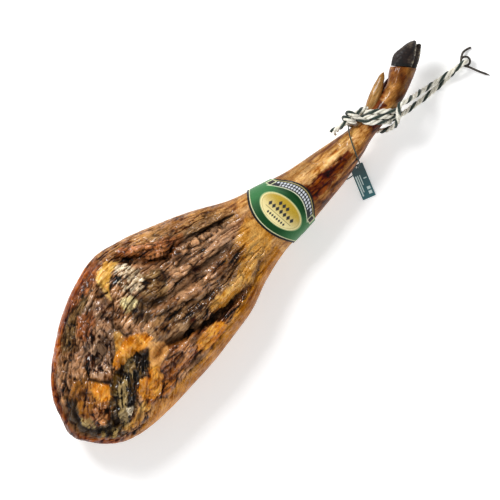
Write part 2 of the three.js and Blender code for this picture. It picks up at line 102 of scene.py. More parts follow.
def smooth_curve(points, count):
    """Points of a smooth curve that passes through all the given ones, evenly shared between them."""
    points = np.asarray(points, dtype=float)
    ends = np.vstack([2 * points[0] - points[1], points, 2 * points[-1] - points[-2]])
    where = np.linspace(0, len(points) - 1, count + 1)
    i = np.minimum(where.astype(int), len(points) - 2)
    w = (where - i)[:, None]
    a, b, c, d = (ends[i + k] for k in range(4))
    spans = ((a, b), (b, c), (c, d))
    before, here, after = (np.sqrt(np.linalg.norm(q - p, axis=1))[:, None] for p, q in spans)
    leave = here * ((b - a) / before - (c - a) / (before + here) + (c - b) / here)
    arrive = here * ((c - b) / here - (d - b) / (here + after) + (d - c) / after)
    return b + leave * w + (3 * (c - b) - 2 * leave - arrive) * w**2 + (2 * (b - c) + leave + arrive) * w**3


def arc_lengths(points):
    """How far along a line of points each of them lies."""
    return np.concatenate([[0], np.cumsum(np.linalg.norm(np.diff(points, axis=0), axis=1))])


def evenly_spaced(points, step):
    """The same curve as points a fixed step apart."""
    lengths = arc_lengths(points)
    places = np.linspace(0, lengths[-1], max(2, round(lengths[-1] / step)))
    return np.column_stack([np.interp(places, lengths, points[:, k]) for k in range(3)]), places


def running_frames(path):
    """Two directions across the path at each point, carried along it with no twist."""
    tangents = np.gradient(path, axis=0)
    tangents /= np.linalg.norm(tangents, axis=1)[:, None]
    side = np.cross(tangents[0], [0.0, 0.0, 1.0])
    if np.linalg.norm(side) < 0.1:
        side = np.cross(tangents[0], [0.0, 1.0, 0.0])
    sides = []
    for tangent in tangents:
        side = side - tangent * side.dot(tangent)
        side = side / np.linalg.norm(side)
        sides.append(side)
    sides = np.array(sides)
    return sides, np.cross(tangents, sides)


def ring_faces(rings, around, joined=False):
    """Faces between rings of vertices that follow one another; joined links the last to the first too."""
    faces = []
    for k in range(rings if joined else rings - 1):
        here, ahead = k * around, (k + 1) % rings * around
        for j in range(around):
            beside = (j + 1) % around
            faces.append((here + j, here + beside, ahead + beside, ahead + j))
    return faces


def tube(path, radii, around):
    """Vertices and faces of a closed round tube whose radius is given at each point of its path."""
    sides, ups = running_frames(path)
    angles = np.linspace(0, 2 * math.pi, around, endpoint=False)
    reach = np.cos(angles)[None, :, None] * sides[:, None] + np.sin(angles)[None, :, None] * ups[:, None]
    vertices = (path[:, None] + np.asarray(radii)[:, None, None] * reach).reshape(-1, 3)
    faces = ring_faces(len(path), around)
    last = (len(path) - 1) * around
    faces.append(tuple(range(around - 1, -1, -1)))
    faces.append(tuple(range(last, last + around)))
    return vertices, faces


def piece(name, vertices, faces, materials, slots=None, smooth=True):
    """A scene object from vertices in millimetres, which rides on the one body of the part."""
    made = bpy.data.meshes.new(name)
    made.from_pydata((np.asarray(vertices) * MM).tolist(), [], [tuple(map(int, f)) for f in faces])
    for material in materials:
        made.materials.append(material)
    if slots is not None:
        made.polygons.foreach_set("material_index", slots)
    made.polygons.foreach_set("use_smooth", [smooth] * len(faces))
    made.update()
    placed = bpy.data.objects.new(name, made)
    bpy.context.collection.objects.link(placed)
    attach(placed, "root")
    return placed


def merged(parts):
    """Several sets of vertices and faces as one, with the number of the set that each face came from."""
    vertices, faces, origins = [], [], []
    for number, (points, polygons) in enumerate(parts):
        first = sum(len(v) for v in vertices)
        vertices.append(points)
        faces.extend(tuple(first + i for i in polygon) for polygon in polygons)
        origins.extend([number] * len(polygons))
    return np.vstack(vertices), faces, origins


def strands(path, places, thickness, count, lay, around, opened=None):
    """Strands laid round each other along a path; opened spreads them apart at each point."""
    sides, ups = running_frames(path)
    strand_radius = thickness / 2 * STRAND_SHARE[count]
    centre_radius = thickness / 2 - strand_radius
    spread = np.ones(len(path)) if opened is None else opened
    made = []
    for k in range(count):
        angle = 2 * math.pi * (k / count - places / lay)
        offset = np.cos(angle)[:, None] * sides + np.sin(angle)[:, None] * ups
        centre = path + offset * (centre_radius * spread)[:, None]
        fullness = GREEN_FULLNESS if k == GREEN_STRAND else 1.0
        made.append(tube(centre, np.full(len(path), fullness * strand_radius), around))
    return made


def srgb(red, green, blue):
    """A colour given as 0 to 255 display values, as the linear values that shaders use."""
    values = np.array([red, green, blue]) / 255
    linear = np.where(values <= 0.04045, values / 12.92, ((values + 0.055) / 1.055) ** 2.4)
    return (*linear.tolist(), 1.0)


def ink(colour):
    """The same without the fourth value, for paint that is kept on the vertices of a mesh."""
    return np.array(srgb(*colour)[:3])


class Nodes:
    """A short way to add and join the nodes of a tree."""

    def node(self, kind, settings=None, **inputs):
        made = self.tree.nodes.new(kind)
        for key, value in (settings or {}).items():
            setattr(made, key, value)
        for key, value in inputs.items():
            self.give(made.inputs[key.replace("_", " ")], value)
        return made

    def give(self, socket, value):
        if isinstance(value, bpy.types.NodeSocket):
            self.tree.links.new(value, socket)
        else:
            socket.default_value = value

    def noise(self, place, scale, detail, roughness):
        made = self.node("ShaderNodeTexNoise", Vector=place, Scale=scale, Detail=detail, Roughness=roughness)
        return made.outputs["Fac"]

    def ramp(self, factor, *stops):
        made = self.node("ShaderNodeValToRGB", Fac=factor)
        for element, (place, colour) in zip(made.color_ramp.elements, stops):
            element.position = place
            element.color = colour if isinstance(colour, tuple) else (colour, colour, colour, 1.0)
        return made.outputs["Color"]

    def between(self, value, low, high):
        """0 at low, 1 at high and even between them."""
        made = self.node("ShaderNodeMapRange", Value=value, From_Min=low, From_Max=high)
        return made.outputs["Result"]

    def mix(self, factor, first, second, kind="MIX"):
        made = self.node("ShaderNodeMix", {"data_type": "RGBA", "blend_type": kind})
        for socket, value in zip((0, 6, 7), (factor, first, second)):
            self.give(made.inputs[socket], value)
        return made.outputs[2]

    def maths(self, operation, *values):
        made = self.node("ShaderNodeMath", {"operation": operation})
        for socket, value in zip(made.inputs, values):
            self.give(socket, value)
        return made.outputs["Value"]


class Effect(Nodes):
    """A node group that several materials place: its inputs and its outputs have names."""

    def __init__(self, name, scale, outputs):
        self.tree = bpy.data.node_groups.new(name, "ShaderNodeTree")
        self.tree.interface.new_socket("Place", in_out="INPUT", socket_type="NodeSocketVector")
        fineness = self.tree.interface.new_socket("Scale", in_out="INPUT", socket_type="NodeSocketFloat")
        fineness.default_value = scale
        for socket in outputs:
            self.tree.interface.new_socket(socket, in_out="OUTPUT", socket_type="NodeSocketFloat")
        given = self.tree.nodes.new("NodeGroupInput").outputs
        self.place, self.scale = given["Place"], given["Scale"]
        self.result = self.tree.nodes.new("NodeGroupOutput").inputs


class Shader(Nodes):
    """A material with one principled surface."""

    def __init__(self, name, **sockets):
        self.material = bpy.data.materials.new(name)
        self.material.use_nodes = True
        self.tree = self.material.node_tree
        self.surface = self.tree.nodes["Principled BSDF"]
        for socket, value in sockets.items():
            self.surface.inputs[socket.replace("_", " ")].default_value = value

    def feed(self, name, value):
        self.give(self.surface.inputs[name], value)

    def stored(self, name, output):
        """A value kept on the vertices of the mesh."""
        return self.node("ShaderNodeAttribute", {"attribute_name": name}).outputs[output]

    def effect(self, group, scale, place=None):
        """The outputs of a shared effect, laid in object space unless a place is given."""
        place = place or self.node("ShaderNodeTexCoord").outputs["Object"]
        return self.node("ShaderNodeGroup", {"node_tree": group.tree}, Place=place, Scale=scale).outputs

    def bump(self, height, distance, strength=1.0):
        made = self.node("ShaderNodeBump", Height=height, Distance=distance, Strength=strength)
        self.feed("Normal", made.outputs["Normal"])


# Yarn: fine fibres gathered in soft tufts. Grain: the small uneven marks of meat, horn, metal and paper.
YARN = Effect("yarn_fibres", 900.0, ("Tone", "Height"))
yarn_fibre = YARN.noise(YARN.place, YARN.scale, 5.0, 0.7)
yarn_tuft = YARN.noise(YARN.place, YARN.maths("MULTIPLY", YARN.scale, 0.3), 3.0, 0.6)
yarn_tone = YARN.maths("MULTIPLY_ADD", yarn_fibre, 0.6, YARN.maths("MULTIPLY", yarn_tuft, 0.4))
YARN.give(YARN.result["Tone"], YARN.between(yarn_tone, 0.36, 0.58))
YARN.give(YARN.result["Height"], yarn_fibre)
GRAIN = Effect("fine_grain", 500.0, ("Tone", "Height"))
grain_height = GRAIN.noise(GRAIN.place, GRAIN.scale, 5.0, 0.62)
GRAIN.give(GRAIN.result["Tone"], GRAIN.between(grain_height, 0.34, 0.66))
GRAIN.give(GRAIN.result["Height"], grain_height)


def cotton(name, dark, light):
    """Soft spun yarn, fluffy and without shine, between a dark and a light shade."""
    shader = Shader(name, Roughness=0.92, Sheen_Weight=0.35, Sheen_Roughness=0.5)
    yarn = shader.effect(YARN, 900.0)
    shader.feed("Base Color", shader.mix(yarn["Tone"], dark, light))
    shader.bump(yarn["Height"], 0.0012)
    return shader.material


def ankle_turn(angle):
    """A point of the winding round the ankle; the angle is in degrees, 0 on the left and 90 on top."""
    first, last = TURN_ANGLES
    shift = TURN_PITCH * (1.5 - (first - angle) / 360)
    place = ANKLE + ACROSS_ANKLE * TURN_REACH * math.cos(math.radians(angle))
    return place + (shift, 0.0, TURN_HEIGHT * math.sin(math.radians(angle)))


def knot_turn(angle):
    """A point of the winding round the core of the knot; 90 degrees is on top, 180 towards the ankle."""
    first, last = KNOT_ANGLES
    x = np.interp(first - angle, (0, first - last), KNOT_X)
    turn = math.radians(angle)
    y, z = KNOT_MIDDLE
    return np.array([x, y + KNOT_RADIUS * math.cos(turn), z + KNOT_RADIUS * math.sin(turn)])


turns = [ankle_turn(angle) for angle in range(TURN_ANGLES[0], TURN_ANGLES[1] - 1, -ANGLE_STEP)]
knot = [knot_turn(angle) for angle in range(KNOT_ANGLES[0], KNOT_ANGLES[1] - 1, -ANGLE_STEP)]
rope_points = [*ROPE_TAIL, *ROPE_CORE, *turns, *knot, *UNDER_ANKLE, *HITCH, *LEAD_OUT, *LEAD_BACK]
rope_path, rope_places = evenly_spaced(smooth_curve(rope_points, 3000), ROPE_STEP)
fray = 1 + FRAY["spread"] * np.clip(1 - rope_places / FRAY["length"], 0, 1) ** 1.5
rope_parts = merged(strands(rope_path, rope_places, ROPE_THICKNESS, 3, ROPE_LAY, 10, fray))
cream_cotton = cotton("cream_cotton", srgb(206, 198, 172), srgb(255, 252, 240))
green_cotton = cotton("green_cotton", srgb(8, 20, 14), srgb(34, 56, 42))
rope_slots = [int(number == GREEN_STRAND) for number in rope_parts[2]]
rope = piece("rope", rope_parts[0], rope_parts[1], [cream_cotton, green_cotton], rope_slots)
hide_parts("rope_turns", "rope_tail", "rope_lead")

# Hook: one bent and blackened steel wire, with an eye that the rope passes through, a short arm that
# curls away from it and a long straight pin ground to a point.
WIRE = 3.7
EYE = {"x": 450.4, "y": -116.1, "radius": 7.4, "from": 113, "to": 559, "low": 10.8, "high": 14.1}
HOOK_ARM = [(474.0, -108.4, 1.8), (467.0, -105.2, 3.4), (459.5, -104.0, 6.0), (453.2, -106.0, 8.6)]
HOOK_PIN = [(447.6, -128.0, 10.9), (453.4, -145.0, 6.3), (460.4, -161.4, 1.8)]
POINT_LENGTH = 9.0
POINT_WIDTH = 0.12  # beside the full wire
ARM_END_ROUNDING = 1.2


def eye_point(share):
    """A point of the eye, from the arm to the pin."""
    angle = math.radians(EYE["from"] + share * (EYE["to"] - EYE["from"]))
    climb = np.clip((share - 0.1) / 0.8, 0, 1)
    z = EYE["low"] + (EYE["high"] - EYE["low"]) * climb**2 * (3 - 2 * climb)
    return EYE["x"] + EYE["radius"] * math.cos(angle), EYE["y"] + EYE["radius"] * math.sin(angle), z


hook_points = [*HOOK_ARM, *(eye_point(k / 12) for k in range(13)), *HOOK_PIN]
hook_path, hook_places = evenly_spaced(smooth_curve(hook_points, 400), 0.8)
to_point = (hook_places[-1] - hook_places) / POINT_LENGTH
hook_radii = WIRE / 2 * np.clip(POINT_WIDTH + to_point, POINT_WIDTH, 1)
hook_radii *= np.clip(0.5 + hook_places / ARM_END_ROUNDING, 0, 1)
blackened = Shader("blackened_steel", Metallic=0.85)
rust = blackened.effect(GRAIN, 420.0)
blackened.feed("Base Color", blackened.mix(rust["Tone"], srgb(38, 34, 31), srgb(104, 97, 90)))
blackened.feed("Roughness", blackened.ramp(rust["Tone"], (0.0, 0.3), (1.0, 0.62)))
blackened.bump(rust["Height"], 0.0002)
hook = piece("wire_hook", *tube(hook_path, hook_radii, 14), [blackened.material])
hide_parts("hook")

# Tag: a dark teal card with a punched hole. It leans on the shank and rests on the table, and carries
# a plain printed panel and pale rules.
TAG_WIDTH = 22.5
TAG_LENGTH = 60.0
TAG_THICK = 0.7
TAG_HOLE = 2.1
TAG_HOLE_INSET = 4.5
TAG_CORNER = 1.2
TAG_POINTS = 24  # vertices of the outline, and of the hole
HOLE_START = 15  # vertex of the hole that is joined to the first one of the outline
TAG_FOOT = np.array([183.1, -143.7, 1.2])
TAG_TOP = np.array([207.7, -92.8, 20.0])
tag_up = (TAG_TOP - TAG_FOOT) / np.linalg.norm(TAG_TOP - TAG_FOOT)
tag_side = np.cross(tag_up, [0.0, 0.0, 1.0])
tag_side /= np.linalg.norm(tag_side)
tag_face = np.cross(tag_side, tag_up)

card = Shader("printed_card", Roughness=0.46, Coat_Weight=0.12, Coat_Roughness=0.3)
card_place = card.node("ShaderNodeUVMap").outputs["UV"]
card_parts = card.node("ShaderNodeSeparateXYZ", Vector=card_place)


def band_mask(shader, value, low, high, soft):
    """1 where the value lies between low and high, fading over soft."""
    rise = shader.between(value, low - soft, low + soft)
    fall = shader.between(value, high - soft, high + soft)
    return shader.maths("SUBTRACT", rise, fall)


def box_mask(shader, parts, x_range, y_range, soft=0.25):
    """1 inside a rectangle of the printed face, whose sizes are in millimetres."""
    across = band_mask(shader, parts.outputs["X"], *x_range, soft)
    along = band_mask(shader, parts.outputs["Y"], *y_range, soft)
    return shader.maths("MULTIPLY", across, along)


card_grain = card.effect(GRAIN, 700.0)
# The card's teal, darker towards the top of the card
card_teal = card.mix(card.between(card_parts.outputs["Y"], 12.0, 50.0), srgb(4, 92, 100), srgb(10, 40, 44))
card_colour = card.mix(card.maths("MULTIPLY", card_grain["Tone"], 0.35), card_teal, srgb(24, 104, 108))
pale_print = srgb(206, 226, 224)
for x_range, y_range in (
    # bars of plain colour, in millimetres across and along the card
    ((-9.0, -6.8), (6, 42)), ((-5.4, -3.8), (12, 42)), ((-1.8, -0.4), (24, 42)),
    ((3.0, 8.2), (33.4, 35.2)), ((2.4, 8.0), (6, 11.5)), ((2.4, 8.0), (14, 19)),
):
    card_colour = card.mix(box_mask(card, card_parts, x_range, y_range), card_colour, pale_print)
card.feed("Base Color", card_colour)
card.bump(card_grain["Height"], 0.0001, 0.4)


def tag_outline(count):
    """The card's outline with slightly rounded corners, in millimetres from the middle of its foot."""
    points = []
    for x_sign, y_end, start in ((1, 0, -90), (1, 1, 0), (-1, 1, 90), (-1, 0, 180)):
        for k in range(count):
            turn = math.radians(start + 90 * k / (count - 1))
            x = x_sign * (TAG_WIDTH / 2 - TAG_CORNER) + TAG_CORNER * math.cos(turn)
            y = (TAG_CORNER if y_end == 0 else TAG_LENGTH - TAG_CORNER) + TAG_CORNER * math.sin(turn)
            points.append((x, y))
    return points


hole = []
for k in range(TAG_POINTS):
    turn = 2 * math.pi * k / TAG_POINTS
    hole.append((TAG_HOLE * math.cos(turn), TAG_LENGTH - TAG_HOLE_INSET + TAG_HOLE * math.sin(turn)))
flat = tag_outline(TAG_POINTS // 4) + hole[HOLE_START:] + hole[:HOLE_START]
card_vertices = [
    TAG_FOOT + x * tag_side + y * tag_up + h * tag_face for h in (0.0, TAG_THICK) for x, y in flat
]
count = len(flat)
card_faces = []
for a in range(TAG_POINTS):
    b = (a + 1) % TAG_POINTS
    hole_a, hole_b = TAG_POINTS + a, TAG_POINTS + b
    card_faces.append((hole_a, hole_b, b, a))
    card_faces.append((count + a, count + b, count + hole_b, count + hole_a))
    card_faces.append((a, b, count + b, count + a))
    card_faces.append((hole_b, hole_a, count + hole_a, count + hole_b))
tag = piece("tag_card", card_vertices, card_faces, [card.material], smooth=False)
tag_uv = tag.data.uv_layers.new(name="face")
for loop in tag.data.loops:
    tag_uv.data[loop.index].uv = flat[loop.vertex_index % count]
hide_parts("tag")

# Tag string: thin dark green twisted cotton, from the knot over the shank, through the hole of the tag
# and back up under the shank.
STRING = 2.4
STRING_LAY = 4.2
STRING_STEP = 0.6
STRING_POINTS = [
    (244.6, -41.4, 80.2), (239.0, -47.6, 80.8), (231.8, -57.0, 81.4), (225.2, -68.0, 81.8),
    (219.0, -79.6, 78.8), (214.8, -88.4, 71.2), (212.2, -94.6, 58.2), (209.0, -96.4, 38.0),
    (206.6, -96.6, 22.0), (204.8, -97.8, 15.6), (201.0, -99.4, 12.4), (195.5, -100.2, 12.0),
    (190.0, -99.5, 14.5), (184.0, -97.8, 19.0), (178.0, -94.2, 26.0), (175.6, -84.0, 33.4),
]
string_path, string_places = evenly_spaced(smooth_curve(STRING_POINTS, 600), STRING_STEP)
string_parts = merged(strands(string_path, string_places, STRING, 2, STRING_LAY, 8))
string_cotton = cotton("string_cotton", srgb(8, 24, 18), srgb(38, 66, 52))
string = piece("string", string_parts[0], string_parts[1], [string_cotton])
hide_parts("tag_string")

# Ham: the whole hind leg, salted and dried. Its meat face is dark, oily and deeply wrinkled lengthwise,
# with yellow fat where it was trimmed and pale mould in the hollows; the shank is smooth amber skin.
STATIONS = np.array([
    # x, left, right, top, under
    (-418.4, -32, -32, 58, 58), (-410, -6, -57, 82, 40), (-397, 22, -77, 94, 29), (-371, 52, -102, 107, 17),
    (-333, 78, -117, 115, 7), (-282, 105, -124, 120, 1), (-231, 121, -126, 123, -3), (-180, 127, -127, 124, -3),
    (-128, 111, -124, 121, -1), (-77, 87, -119, 115, 3), (-26, 60, -105, 106, 10), (30, 24, -97, 96, 17),
    (77, 4, -99, 89, 22), (128, -16, -98, 84, 27), (180, -30, -96, 81, 31), (228, -43, -89, 79, 33),
    (250, -47.6, -84.5, 77.5, 34), (272, -49, -82.5, 75.5, 36.5), (300, -48.6, -82, 75.5, 36.5),
    (325, -46, -81.5, 77, 34), (342, -43.5, -77.5, 79, 33), (373.4, -30.4, -64.5, 80, 34),
])
WAIST = 0.45
BODY_SQUARE = 2.6
SHANK_SQUARE = 2.2
FOOT_LEAN_FROM = 305.0
FOOT_LEAN = -0.74
BUTT_END = STATIONS[0, 0]
FOOT_END = STATIONS[-1, 0]
# Stretches along the ham over which one kind of surface gives way to the next
MEAT_TO_SKIN = (-20, 45)
FIBRES_TURN = (-275, -215)
SKIN_TO_FOOT = (290, 325)
SKIN_TO_LEG = (290, 340)
SCATTER = (127.1, 311.7, 43758.5453)  # any large numbers, for values that look random
SMOOTH_ZONES = ((28, 132), (246, 330))  # where the band and the rope lie on the skin
STROKE_STEPS = 24


def lerp(first, second, share):
    return first + (second - first) * share


def ease(value, low, high):
    """0 below low, 1 above high, and smooth between them."""
    share = np.clip((value - low) / (high - low), 0, 1)
    return share * share * (3 - 2 * share)


def blended(column, x):
    """A station value at any place along the ham; the butt closes like the end of an egg."""
    root = np.sqrt(STATIONS[:, 0] - BUTT_END)
    values = STATIONS[:, column]
    before = np.maximum(np.arange(len(values)) - 1, 0)
    after = np.minimum(np.arange(len(values)) + 1, len(values) - 1)
    slopes = (values[after] - values[before]) / (root[after] - root[before])
    i = np.clip(np.searchsorted(STATIONS[:, 0], x, side="right") - 1, 0, len(values) - 2)
    span = root[i + 1] - root[i]
    t = (np.sqrt(np.maximum(0, x - BUTT_END)) - root[i]) / span
    bend = t * (1 - t) * span
    level = lerp(values[i], values[i + 1], (3 - 2 * t) * t * t)
    return level + bend * ((1 - t) * slopes[i] - t * slopes[i + 1])


def signed_power(value, power):
    return np.sign(value) * np.abs(value) ** power


def skin(x, angle, out=0.0):
    """Points of the smooth skin: angle 0 is the left edge, 90 degrees the top; out stands off the skin."""
    left, right, top, under = (blended(column, x) for column in (1, 2, 3, 4))
    waist = lerp(under, top, WAIST)
    upper = np.sin(angle) >= 0
    square = np.where(upper, lerp(BODY_SQUARE, SHANK_SQUARE, ease(x, -120, 60)), SHANK_SQUARE)
    share = signed_power(np.cos(angle), 2 / square)
    aside = ((left - right) / 2 + out) * share
    height = (np.where(upper, top - waist, waist - under) + out) * signed_power(np.sin(angle), 2 / square)
    lean = FOOT_LEAN * ease(x, FOOT_LEAN_FROM, FOOT_END) ** 2
    return np.column_stack([x + lean * aside, (left + right) / 2 + aside, waist + height]), share


def grid_value(i, j):
    value = np.sin(i * SCATTER[0] + j * SCATTER[1]) * SCATTER[2]
    return value - np.floor(value)


def noise(a, b):
    """Smooth noise between 0 and 1 on a grid of fixed pseudo-random values."""
    i, j = np.floor(a), np.floor(b)
    s, t = ease(a - i, 0, 1), ease(b - j, 0, 1)
    near = lerp(grid_value(i, j), grid_value(i + 1, j), s)
    far = lerp(grid_value(i, j + 1), grid_value(i + 1, j + 1), s)
    return lerp(near, far, t)


def clouds(a, b, octaves=3):
    """Noise of several sizes, between 0 and 1."""
    total = sum(noise(a * 2**k + 17 * k, b * 2**k + 31 * k) / 2**k for k in range(octaves))
    return total / sum(1 / 2**k for k in range(octaves))


def from_stretch(x, y, start, end):
    """Distance from each point to a straight stretch, and which share of the stretch lies nearest."""
    ax, ay = start
    dx, dy = end[0] - ax, end[1] - ay
    share = np.clip(((x - ax) * dx + (y - ay) * dy) / (dx**2 + dy**2), 0, 1)
    return np.hypot(x - ax - share * dx, y - ay - share * dy), share


def stroke_distance(path, x, y, reach):
    """Distance from each point to a curve drawn on the meat face, and how far along the curve that is."""
    curve = smooth_curve([(*p, 0.0) for p in path], STROKE_STEPS)[:, :2]
    best = np.full(len(x), 1e9)
    along = np.zeros(len(x))
    low, high = curve.min(axis=0) - reach, curve.max(axis=0) + reach
    near = np.flatnonzero((x > low[0]) & (x < high[0]) & (y > low[1]) & (y < high[1]))
    for k in range(STROKE_STEPS):
        away, share = from_stretch(x[near], y[near], curve[k], curve[k + 1])
        closer = away < best[near]
        best[near[closer]] = away[closer]
        along[near[closer]] = (k + share[closer]) / STROKE_STEPS
    return best, along


# Furrows and ridges as curves seen from above: depth, width and path; a negative depth is a ridge
FURROWS = [
    (12, 8, [(-169, 110), (-142, 76), (-114, 45), (-65, 30), (-17, 11), (24, -1)]),
    (6, 6.5, [(-72, 52), (-25, 34), (6, 21)]),
    (6, 6.5, [(-122, 16), (-67, 9), (-20, 0)]),
    (9, 8, [(-189, 36), (-168, 3), (-117, -15), (-56, -20), (10, -32)]),
    (6, 7, [(-183, -24), (-150, -38), (-90, -54)]),
    (11, 8, [(-242, -58), (-215, -49), (-182, -62), (-120, -85), (-46, -91)]),
    (5, 7, [(-218, -82), (-257, -86), (-292, -84)]),
    (9, 8, [(-205, 95), (-213, 78), (-225, 48)]),
    (9, 12, [(-255, 27), (-304, 14)]),
    (11, 10, [(-243, -28), (-270, -24), (-297, -27)]),
    (8, 8, [(-340, 66), (-377, 34), (-396, 0), (-402, -40), (-386, -82)]),
    (-6, 7, [(-297, -37), (-327, -51), (-346, -78), (-367, -92)]),
    (-5, 7, [(-110, 34), (-60, 21), (-10, -8)]),
    (-5, 7, [(-160, -19), (-100, -33), (-30, -46)]),
]
BONE_RING = {"x": -357, "y": -50, "radius": 14, "height": 8, "width": 6.5}
LUMPS = {"from": (-160, 104), "to": (-92, 54), "count": 5, "height": 6, "radius": 10}
FOLDS = {"length": 75, "across": 7, "height": 3.2, "on_skin": 0.35}
ALONG_STEP = {"meat": 1.35, "shank": 1.7}
ROUND_STEP = {"meat": 1.35, "shank": 1.4, "under": 4.6}
FEWEST_ROUND = (14, 8)
BUTT_CLOSES = {"length": 24, "rings": 22}


def coarse_relief(x, y, share):
    """How far the meat face stands above or below the smooth skin: its folds, furrows and lumps."""
    across = share * FOLDS["across"] + noise(x / 60, share * 3)
    fold = np.abs(2 * noise(x / FOLDS["length"], across) - 1)
    on_meat = ease(x, -400, -360) * (1 - ease(x, 0, 60))
    height = FOLDS["height"] * (fold - 0.5) * lerp(FOLDS["on_skin"], 1, on_meat)
    lumps = np.zeros(len(x))
    for k in range(LUMPS["count"]):
        centre = [lerp(LUMPS["from"][n], LUMPS["to"][n], k / (LUMPS["count"] - 1)) for n in (0, 1)]
        away = np.hypot(x - centre[0], y - centre[1])
        lumps = np.maximum(lumps, LUMPS["height"] * (1 - ease(away, 0, LUMPS["radius"])))
    ring = (np.hypot(x - BONE_RING["x"], y - BONE_RING["y"]) - BONE_RING["radius"]) / BONE_RING["width"]
    height += lumps + BONE_RING["height"] * np.exp(-(ring**2))
    for depth, width, path in FURROWS:
        away, along = stroke_distance(path, x, y, 3 * width)
        ends = ease(along, -0.02, 0.15) * (1 - ease(along, 0.85, 1.02))
        height -= depth * ends * np.exp(-((away / width) ** 2))
    for low, high in SMOOTH_ZONES:
        height *= 1 - ease(x, low - 14, low) * (1 - ease(x, high, high + 14))
    return height


def ring_places():
    """Places of the cross-sections: crowded at the closed end, then evenly spaced."""
    number = BUTT_CLOSES["rings"]
    crowded = BUTT_END + BUTT_CLOSES["length"] * (np.arange(1, number + 1) / number) ** 2
    meat = np.arange(crowded[-1] + ALONG_STEP["meat"], SMOOTH_ZONES[0][0], ALONG_STEP["meat"])
    shank = np.linspace(meat[-1], FOOT_END, round((FOOT_END - meat[-1]) / ALONG_STEP["shank"]) + 1)[1:]
    return np.concatenate([crowded, meat, shank])


def half_section(x, half, count):
    """Angles along the upper half (0) or lower half (1) of a cross-section, and how far round they lie."""
    angles = np.linspace(half * math.pi, (half + 1) * math.pi, count)
    points, _ = skin(np.full(count, x), angles)
    return angles, arc_lengths(points[:, 1:])


def ring_angles(x):
    """Angles of the vertices of one cross-section, evenly spaced round its outline, and their marks."""
    angles, marks = [], []
    round_step = ROUND_STEP["meat"] if x < SMOOTH_ZONES[0][0] else ROUND_STEP["shank"]
    for half, step in ((0, round_step), (1, ROUND_STEP["under"])):
        fine_angles, lengths = half_section(x, half, 181)
        number = max(FEWEST_ROUND[half], round(lengths[-1] / step))
        places = np.arange(number) / number
        angles.append(np.interp(places * lengths[-1], lengths, fine_angles))
        marks.append(half + places)
    return np.concatenate(angles), np.concatenate(marks)


def zipped(near_first, near_marks, far_first, far_marks):
    """Triangles between two neighbouring rings, whose vertex counts may differ."""
    near_count, far_count = len(near_marks), len(far_marks)
    near_marks = [*near_marks, 2.0]
    far_marks = [*far_marks, 2.0]
    triangles = []
    i = j = 0
    while i < near_count or j < far_count:
        near_next = near_marks[i + 1] if i < near_count else 9.0
        far_next = far_marks[j + 1] if j < far_count else 9.0
        near_here, far_here = near_first + i % near_count, far_first + j % far_count
        if near_next <= far_next:
            i += 1
            triangles.append((near_here, near_first + i % near_count, far_here))
        else:
            j += 1
            triangles.append((near_here, far_first + j % far_count, far_here))
    return triangles


places, angles, marks = [], [], []
for x in ring_places():
    ring_angle, ring_mark = ring_angles(x)
    places.append(np.full(len(ring_angle), x))
    angles.append(ring_angle)
    marks.append(ring_mark.tolist())
firsts = np.concatenate([[0], np.cumsum([len(m) for m in marks])]).astype(int)
ham_triangles = []
for k in range(len(marks) - 1):
    ham_triangles += zipped(firsts[k], marks[k], firsts[k + 1], marks[k + 1])
ham_x = np.concatenate(places)
ham_angle = np.concatenate(angles)
ham_points, ham_share = skin(ham_x, ham_angle)
faces_up = ease(np.sin(ham_angle), 0.08, 0.42)
folds = faces_up * coarse_relief(ham_points[:, 0], ham_points[:, 1], ham_share)
ham_points[:, 2] += folds
butt_tip = len(ham_points)
foot_tip = butt_tip + 1
foot_middle, _ = skin(np.array([FOOT_END, FOOT_END]), np.array([0.0, math.pi]))
ham_points = np.vstack([ham_points, [(BUTT_END, STATIONS[0, 1], STATIONS[0, 3])], [foot_middle.mean(axis=0)]])
folds = np.append(folds, [0.0, 0.0])
ham_triangles += [(butt_tip, (k + 1) % firsts[1], k) for k in range(firsts[1])]
last = len(marks[-1])
ham_triangles += [(foot_tip, firsts[-2] + k, firsts[-2] + (k + 1) % last) for k in range(last)]
ham_triangles = np.array(ham_triangles)
ham_x = np.append(ham_x, [BUTT_END, FOOT_END])
ham_angle = np.append(ham_angle, [math.pi / 2, math.pi / 2])
ham_share = np.append(ham_share, [0.0, 0.0])


def vertex_normals(points, triangles):
    a, b, c = (points[triangles[:, k]] for k in range(3))
    face_normals = np.cross(b - a, c - a)
    normals = np.zeros_like(points)
    for k in range(3):
        np.add.at(normals, triangles[:, k], face_normals)
    return normals / np.maximum(np.linalg.norm(normals, axis=1), 1e-9)[:, None]


def inside_distance(outline, x, y):
    """Distance to the outline of a patch, positive inside it."""
    best = np.full(len(x), 1e9)
    inside = np.zeros(len(x), dtype=bool)
    for k, (bx, by) in enumerate(outline):
        ax, ay = outline[k - 1]
        best = np.minimum(best, from_stretch(x, y, (ax, ay), (bx, by))[0])
        crosses = (ay > y) != (by > y)
        inside ^= crosses & (x < ax + (y - ay) * (bx - ax) / (by - ay if by != ay else 1e-9))
    return np.where(inside, best, -best)


# The smooth fat along the right side of the meat face, as an outline seen from above
FAT_EDGE = [
    (-10, -81), (-38, -92), (-65, -97), (-91, -101), (-117, -106), (-147, -110), (-174, -112), (-203, -110),
    (-233, -108), (-265, -107), (-286, -108), (-314, -108), (-340, -110), (-368, -102), (-398, -117),
    (-344, -165), (-174, -165), (10, -133), (26, -80),
]
